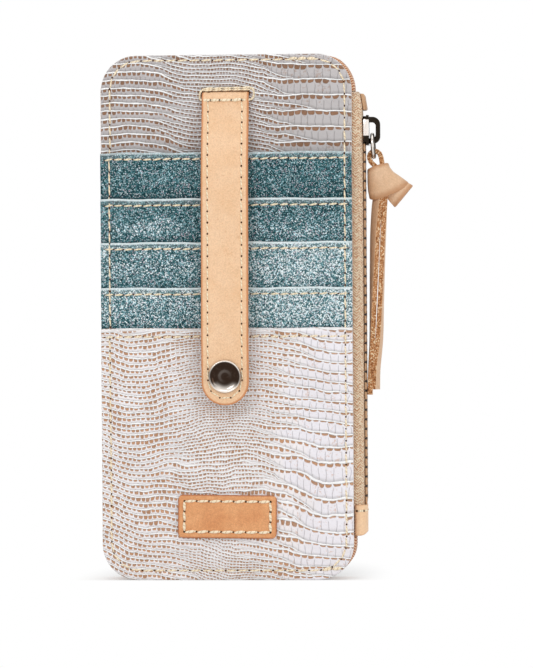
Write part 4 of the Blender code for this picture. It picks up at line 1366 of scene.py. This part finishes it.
def tape(name, node, side):
    flat = GUSSET_HALF - TAPE_HALF
    path = [Vector((x, side * y)) for x, y in ((42.0, flat), (44.0, flat + 0.02), (46.0, flat))]
    for angle in [math.radians(90 * i / 12) for i in range(13)]:
        y = TAPE_CURL + (flat - TAPE_CURL) * math.cos(angle)
        path.append(Vector((HALF + 3.5 * math.sin(angle), side * y)))
    reach = reach_along(path)
    work = raised(path, ZIP_LOW + 0.3, ZIP_HIGH - 0.3, 56)
    keep_flat_map(
        work, lambda p: reach[min(range(len(path)), key=lambda i: (path[i] - p.xy).length)]
    )
    for v in work.verts:
        v.co.x -= lean_in(v.co.z) * smooth(v.co.x, 42, 49)
    as_piece(work, name, [TAPE], [node], thick=2 * TAPE_HALF, offset=0)


for side, word in ((-1, "front"), (1, "back")):
    tape(f"tape_{word}", f"zip_tape_{word}", side)
for word in ("front", "back"):
    eased(f"zip_teeth_{word}", f"teeth_{word}", PLASTIC, edge=0.14, segments=1)
    stop = eased(f"top_stop_{word}", f"top_stop_{word}_eased", PLASTIC, edge=0.2)
    for v in stop.data.vertices:
        v.co.x -= lean_in(v.co.z / MM) * MM
eased("bottom_stop", "bottom_stop_eased", PLASTIC, edge=0.2)
eased("slider_body", "zip_slider", SLIDER_METAL, "slider", edge=0.18)

# %% End tab
TAB_LOW, TAB_HIGH = 16.4, 28.0
TAB_CENTRE, TAB_REACH, TAB_DEPTH, TAB_POWER = 47.8, 4.2, 6.8, 2 / 3
TAB_ROUND, TAB_ROUND_FROM = 3.0, 49.4


def tab_low(x):
    """The tab's lower edge, which rounds up towards its outer corner."""
    over = min(TAB_ROUND, max(0.0, x - TAB_ROUND_FROM))
    return TAB_LOW + TAB_ROUND - math.sqrt(TAB_ROUND**2 - over**2)


def tab_spot(degrees):
    """The x and y of a place on the tab, by the angle round it."""
    a = math.radians(degrees)
    across = TAB_REACH * max(0.0, math.cos(a)) ** TAB_POWER
    return TAB_CENTRE + across, TAB_DEPTH * math.copysign(abs(math.sin(a)) ** TAB_POWER, a)


def end_tab():
    work = raised([tab_spot(-90 + 180 * i / 32) for i in range(33)], TAB_LOW, TAB_HIGH, 16)
    rim = rim_of(work)
    for v in work.verts:
        x, y, z = v.co
        low = tab_low(x)
        v[rim] = 1 - smooth(min(z - TAB_LOW, TAB_HIGH - z), 0, 0.9)
        v.co.z = low + (z - TAB_LOW) * (TAB_HIGH - low) / (TAB_HIGH - TAB_LOW)
        if abs(y) > 4:
            v.co.y -= math.copysign(dip(z - 25.8, 0.15, 0.5), y)
    nodes = ["zip_end_tab"]
    as_piece(work, "end_tab", [TAB_LEATHER], nodes, thick=0.8, offset=0)


end_tab()

# %% [markdown]
# ## Ring and leather pull
# An oval wire ring hangs in the slider's bridge. One strip of leather is looped through it and
# tied: a smooth turn of leather wraps the knot, the strip's other turn comes out under it at the
# right, and both ends hang down. The strips are cut, so their edges show rough brown fibre.

# %% Ring
RING_CENTRE = Vector((55.1, 0, 163.46))
RING_TILT = 4
RING_RADIUS, WIRE_RADIUS = 4.25, 0.8


def pull_ring():
    work = bmesh.new()
    rim = work.verts.layers.float.new("rim")
    bmesh.ops.create_circle(work, cap_ends=False, segments=14, radius=WIRE_RADIUS)
    place(work, turn=rotation(90, "X"), to=(RING_RADIUS, 0, 0))
    full_turn(work, work.verts[:] + work.edges[:], 56)
    for v in work.verts:
        # A painted highlight runs along the middle of the wire.
        v[rim] = 1 - smooth(abs(v.co.z + 0.1), 0.1, 0.5)
    place(work, turn=rotation(90 - RING_TILT, "Y"), to=RING_CENTRE)
    as_piece(work, "wire_ring", [RING_METAL], ["pull_ring"], "ring")


pull_ring()


# %% Strips of the pull
def leather_strip(course, width, thickness):
    """A cut strip with light faces and rough brown edges."""
    length, half, deep = course.length, width / 2, thickness / 2
    work = new_work()
    bmesh.ops.create_cube(work, size=1)
    place(work, size=(width, thickness, length), to=(0, 0, length / 2))
    long_edges = [e for e in work.edges if abs(e.verts[0].co.z - e.verts[1].co.z) > 1]
    bevel(work, long_edges, 0.28, 2)
    cut_evenly(work, "z", 0, length, 0.8)
    cut_evenly(work, "x", 0.3 - half, half - 0.3, 1.2)
    cut_evenly(work, "y", -deep, deep, 0.45)
    work.normal_update()
    for face in work.faces:
        face.material_index = int(abs(face.normal.x) > 0.5)
    fray = random.Random(7)
    for v in work.verts:
        if abs(v.co.x) > half - 0.05:
            v.co.x += fray.uniform(-0.16, 0.1) * math.copysign(1, v.co.x)
    lay_along(work, course)
    return work


def join_work(work, other):
    """Adds one working mesh to another."""
    mesh = to_mesh(other, "strip")
    work.from_mesh(mesh)
    bpy.data.meshes.remove(mesh)


# %% The knot's turns
def knot_turn(stations):
    """A turn of leather: rings are bridged from station to station, then given a thickness."""
    work = new_work()
    loops = []
    for x, y, z, half_width, half_depth, tilt, lean in stations:
        ring = bmesh.ops.create_circle(work, cap_ends=False, segments=40, radius=1)["verts"]
        turn = rotation(-tilt, "Y") @ rotation(lean, "X")
        place(work, (half_width, half_depth, 1), turn, (x, y, z), ring)
        loops.append([e for e in work.edges if all(v in ring for v in e.verts)])
    for above, below in pairwise(loops):
        bmesh.ops.bridge_loops(work, edges=above + below)
    bmesh.ops.recalc_face_normals(work, faces=work.faces)
    rim = rim_of(work)
    for v in work.verts:
        v[rim] = float(v.is_boundary)
    bmesh.ops.solidify(work, geom=work.faces[:], thickness=1.5)
    bmesh.ops.recalc_face_normals(work, faces=work.faces)
    bevel(work, sharp_edges(work, 50), 0.3, 2, clamp=True)
    return work


# Each strip has its points, its twists, its width and its thickness.
PULL_STRIPS = [
    (
        [(57.6, 0.2, 153.0), (56.0, 0.1, 155.6), (54.1, 0, 157.6), (53.62, 0, 159.3),
         (54.25, 0, 160.85), (55.7, 0, 161.45), (57.2, 0, 160.9), (57.95, 0, 159.4),
         (58.4, 0, 157.0), (58.7, 0, 153.5)],
        None, 3.0, 1.8,
    ),
    (
        [(57.6, -0.5, 148.0), (56.6, -0.7, 141.5), (55.9, -0.6, 134.0), (55.25, -0.4, 119.0),
         (54.75, -0.2, 104.0), (54.3, 0, 89.5), (53.6, 0, 78.0), (53.4, 0, 69.4)],
        [-34, -36, -32, -24, -14, -7, -3, 0], 5.0, 1.9,
    ),
    (
        [(59.6, 0.6, 148.0), (59.3, 0.5, 141.5), (58.9, 0.4, 134.0), (58.2, 0.3, 119.0),
         (57.6, 0.2, 104.0), (56.9, 0.1, 89.5), (55.7, 0, 78.0), (55.5, 0, 71.4)],
        [-4, -4, 0, 2, 5, 12, 16, 18], 5.0, 1.9,
    ),
]
# Each station has its place, its half width and half depth, and its tilt and lean in degrees.
KNOT_TURNS = [
    [(60.5, 0.6, 149.3, 3.4, 3.1, 50, 0), (62.4, 0.6, 147.7, 4.3, 3.3, 50, 0),
     (64.6, 0.5, 145.9, 5.0, 3.4, 50, 0), (66.6, 0.4, 144.2, 5.4, 3.3, 50, 0)],
    [(56.8, 0.2, 155.7, 4.2, 3.3, 17, -8), (57.1, 0, 153.9, 4.5, 3.6, 18, 2),
     (57.8, -0.1, 151.7, 5.3, 3.9, 20, 12), (59.2, -0.1, 149.2, 6.7, 4.1, 22, 20),
     (61.0, 0.0, 146.4, 8.0, 4.1, 22, 26)],
]


def knotted_pull():
    work = new_work()
    for points, twists, width, thickness in PULL_STRIPS:
        join_work(work, leather_strip(Course(points, (0, -1, 0), twists), width, thickness))
    for stations in KNOT_TURNS:
        join_work(work, knot_turn(stations))
    materials = [PULL_LEATHER, CUT_EDGE]
    as_piece(work, "knotted_pull", materials, ["leather_pull"], "pull", sharp=50)


knotted_pull()

# %% [markdown]
# ## Thread
# Every seam is sewn with separate stitches. A stitch is a small plump oval of thread whose ends go
# down into two holes, and it lies a little askew, as a lockstitch does. The holes are dark dimples
# between the stitches.

# %% The surfaces to sew on
TO_FRONT, TO_BACK, UP = Vector((0, -1, 0)), Vector((0, 1, 0)), Vector((0, 0, 1))


def on_front(x, z):
    """A place on the front-most layer and the way out from it."""
    def spot(u, w):
        return Vector((u, -front_out(u, w), w))

    across = spot(x + 0.2, z) - spot(x - 0.2, z)
    up = spot(x, z + 0.1) - spot(x, z - 0.1) if abs(z - POCKET_TOP) > 0.2 else UP
    return spot(x, z), across.cross(up).normalized()


def on_back(x, z):
    return Vector((x, panel_out(x, z), z)), TO_BACK


def on_patch(x, z):
    return patch_spot(x, z) - TO_FRONT * 0.1, TO_FRONT


def on_strap(x, length):
    spot, side, front = FRONT_PLY_COURSE.at(TIP_AT + length)
    return spot + side * x + front * (1.2 - dip(0, 0.15, 1)), front


def on_root(x, z):
    """A place on the strap's sewn end, or on the wall beside it."""
    over = smooth(-abs(x), -9.9, -8.7) * smooth(-z, -184.5, -183)
    return Vector((x, -panel_out(x, z) - over * 2.95, z)), TO_FRONT


def on_tab(turn, z):
    """A place on the end tab, by the angle round it."""
    way = Vector((*tab_spot(turn + 1), z)) - Vector((*tab_spot(turn - 1), z))
    out = way.cross(UP).normalized()
    return Vector((*tab_spot(turn), z)) + out * 0.4, out


# %% Sewing
def even_steps(track, pitch):
    """Points spaced evenly along a line of points, about a pitch apart."""
    track = [Vector(p) for p in track]
    reach = reach_along(track)
    count = max(1, round(reach[-1] / pitch))
    spots = []
    for k in range(count + 1):
        target = reach[-1] * k / count
        i = min(len(track) - 2, max(j for j in range(len(track)) if reach[j] <= target + 1e-9))
        t = (target - reach[i]) / (reach[i + 1] - reach[i])
        spots.append(track[i].lerp(track[i + 1], t))
    return spots


def add_stitch(work, start, end, out, thick, slant, short):
    """One stitch between two holes, shorter than their distance by a small amount."""
    along = end - start
    length, way = along.length - short, along.normalized()
    made = bmesh.ops.create_uvsphere(
        work, u_segments=8, v_segments=6, radius=0.5, calc_uvs=True
    )["verts"]
    turn = rotation(slant, out) @ Matrix((out.cross(way).normalized(), out, way)).transposed()
    middle = (start + end) / 2 + out * thick * 0.22
    place(work, (thick * 1.1, thick, length), turn, middle, made)


def add_hole(work, spot, out, width):
    made = bmesh.ops.create_cone(
        work, cap_ends=True, segments=8, radius1=width / 2, radius2=width / 3, depth=0.08
    )["verts"]
    place(work, None, UP.rotation_difference(out).to_matrix(), spot + out * 0.03, made)
    for face in {f for v in made for f in v.link_faces}:
        face.material_index = 1


def sew(name, tracks, surface, pitch, thick, slant=7, hole=0.8, short=0.5, blend=False):
    """Sews along tracks of flat places on a surface, and makes one piece of it.

    Pitch is from hole to hole, hole is a hole's width, and slant is in degrees. Short is how much
    shorter than the pitch a stitch is, so that one below 0 overlaps the next.
    """
    work = bmesh.new()
    work.loops.layers.uv.new("thread")
    hand = random.Random(name)
    count = 0
    for track in tracks:
        placed = [surface(*spot) for spot in even_steps(track, pitch)]
        for (start, out_a), (end, out_b) in pairwise(placed):
            out = (out_a + out_b).normalized()
            own_thick = thick * hand.uniform(0.92, 1.08)
            own_slant = slant + hand.uniform(-2.5, 2.5)
            add_stitch(work, start, end, out, own_thick, own_slant, short)
            count += 1
        for spot, out in placed if hole else ():
            add_hole(work, spot, out, hole * hand.uniform(0.85, 1.15))
    piece = as_piece(work, name, [THREAD, HOLE], body=None if blend else "organizer")
    if blend:
        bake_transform(piece, "organizer", "strap", *HINGE_AT)
    print(f"{name}: {count} stitches")


def arc_points(x, z, radius, start, end, steps=10):
    angles = [math.radians(start + (end - start) * i / steps) for i in range(steps + 1)]
    return [(x + radius * math.cos(a), z + radius * math.sin(a)) for a in angles]


def rounded_track(left, right, low, high, radius):
    """A closed track round a rectangle with rounded corners, from its lower left going up."""
    left, right, low, high = left + radius, right - radius, low + radius, high - radius
    corners = ((left, high, 180), (right, high, 90), (right, low, 0), (left, low, -90))
    track = [point for x, z, a in corners for point in arc_points(x, z, radius, a, a - 90)]
    return track + track[:1]


# %% Seams of walls, pockets and patch
SEAM_TRACK = rounded_track(**SEAM)
BACK_TACKS = [[(24.0, 196.3), (34.0, 196.2)], [(35.4, 3.9), (43.0, 4.4)]]
sew("front_seam", [SEAM_TRACK], on_front, 4.5, 0.62, 5, 0.95)
sew("front_back_tacks", BACK_TACKS, on_front, 3.3, 1.05, 4, 0.6, 0.1)
sew("back_seam", [SEAM_TRACK], on_back, 4.5, 0.62, 5, 0.95)
for index, top in enumerate((*SLOT_TOPS, POCKET_TOP), 1):
    row = [(x, top - HEM_SEAM + 0.1 * math.sin(0.3 * x + index)) for x in range(-46, 47, 2)]
    sew(f"slot_seam_{index}", [row], on_front, 3.7, 0.66)
half_x, half_z = PATCH_X - PATCH_SEAM, PATCH_Z - PATCH_SEAM
corners = [(-half_x, -half_z), (-half_x, half_z), (half_x, half_z), (half_x, -half_z)]
sew("patch_seam", list(pairwise(corners + corners[:1])), on_patch, 4.4, 1.0, 6, 0.9, 0.3)

# %% Seams of strap and end tab
row_x, row_end = STRAP_HALF - STRAP_SEAM, 181.0 - STRAP_TIP
tip_turn = arc_points(0, STRAP_HALF, row_x, 180, 360, 12)
strap_track = [(-row_x, row_end), *tip_turn, (row_x, row_end)]
sew("strap_seam", [strap_track], on_strap, 4.24, 0.55, 6, 0.8, blend=True)
top_rows = [[(-8.2, 185.2), (9.4, 185.5)], [(-8.4, 184.5), (9.6, 184.7)]]
sew("strap_box_top", top_rows, on_root, 3.6, 0.72, 3, 0, -0.3)
left_loop = [(-8.9, 180.5), (-9.7, 181.2), (-9.8, 183.2), (-9.2, 184.4), (-8.0, 185.1)]
right_loop = [(9.2, 185.5), (10.4, 185.0), (10.8, 183.4), (10.5, 181.6), (9.5, 180.7)]
sew("strap_box_side", [left_loop, right_loop], on_root, 1.2, 0.75, 0, 0, -0.5)
low_row = [(-9.3, 180.7), (-5.4, 180.6), (-2.0, 180.6), (2.4, 180.6), (6.4, 180.7), (9.9, 180.8)]
sew("strap_box_row", list(pairwise(low_row)), on_root, 9, 1.05, 3, 0.75, 0.1)
tab_rows = [[(s * 86, 25.7), (s * 58, 25.7), (s * 18, 25.9)] for s in (-1, 1)]
sew("tab_seam", tab_rows, on_tab, 30, 0.8, 3, 0.9)

# %% [markdown]
# ## Floor, light and camera
# The studio is plain: a pale floor that fades to white behind the object, a broad soft light on
# each side, and a long lens, level with the middle of the object and a little to its right.

# %% Floor and world
WHITE = (1, 1, 1, 1)


def studio():
    work = bmesh.new()
    bmesh.ops.create_grid(work, x_segments=1, y_segments=1, size=4)
    floor = add_object("floor", to_mesh(work, "floor"))
    f = Finish("pale floor", Roughness=0.9, Specular_IOR_Level=0.1)
    floor.data.materials.append(f.done(paint((246, 246, 246))))
    beside, behind, before = (abs(f.x) - 36) / 26, (f.y - 9) / 110, (f.y + 9) / -7
    away = [amount.most(0) for amount in (beside, behind, before)]
    far = (away[0] * away[0] + away[1] * away[1] + away[2] * away[2]).root().step(0, 1)
    glow = f.node("ShaderNodeEmission", {"Color": WHITE, "Strength": 1.0}).outputs[0]
    sockets = {0: f.seen() * (far * 0.65 + 0.35), 1: f.shader.outputs[0], 2: glow}
    blend = f.node("ShaderNodeMixShader", sockets).outputs[0]
    f.plug(f.tree.nodes["Material Output"].inputs["Surface"], blend)
    floor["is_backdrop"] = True
    world = bpy.data.worlds.new("studio")
    world.use_nodes = True
    bpy.context.scene.world = world
    g = Graph(world.node_tree)
    background = g.tree.nodes["Background"]
    g.plug(background.inputs["Color"], WHITE)
    g.plug(background.inputs["Strength"], g.seen() * 0.4 + 0.6)


studio()


# %% Lamps and camera
MIDDLE = Vector((0.0, 0.0, 0.1))


def stand(name, data, spot, turn):
    """Adds a lamp or a camera at a spot."""
    added = add_object(name, data)
    added.location, added.rotation_mode = spot, "QUATERNION"
    added.rotation_quaternion = turn
    return added


def lamp(name, spot, size, watts):
    light = bpy.data.lights.new(name, "AREA")
    light.shape, light.size, light.energy = "SQUARE", size, watts
    stand(name, light, spot, (MIDDLE - Vector(spot)).to_track_quat("-Z", "Y"))


lamp("key_light", (-0.55, -0.9, 0.75), 0.5, 3.05)
lamp("fill_light", (0.8, -0.8, 0.35), 0.6, 2.4)
lamp("top_light", (0.0, -0.1, 1.2), 0.7, 2.4)

PICTURE_HEIGHT, PIXELS_PER_MM = 668, 2.656
AIM = Vector((0.0142, 0, 0.09255))
FRONT_DEPTH = 0.0095
SIDE_ANGLE, ROLL = math.radians(4.5), 0.33
camera_data = bpy.data.cameras.new("camera")
camera_data.lens, camera_data.sensor_width = 200, 36
camera_data.clip_start, camera_data.clip_end = 0.05, 20
distance = PICTURE_HEIGHT / PIXELS_PER_MM * MM * camera_data.lens / camera_data.sensor_width
back = Vector((math.sin(SIDE_ANGLE), -math.cos(SIDE_ANGLE), 0))
turn = (-back).to_track_quat("-Z", "Y") @ rotation(-ROLL, "Z").to_quaternion()
camera = stand("camera", camera_data, AIM + back * (distance + FRONT_DEPTH), turn)
bpy.context.scene.camera = camera
bpy.context.scene.view_settings.view_transform = "Standard"
print(f"camera {distance:.3f} m in front")

visual_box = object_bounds()
for box, word in ((cad_box, "CAD"), (visual_box, "visual")):
    print(word, [[round(v / MM, 2) for v in corner] for corner in box])
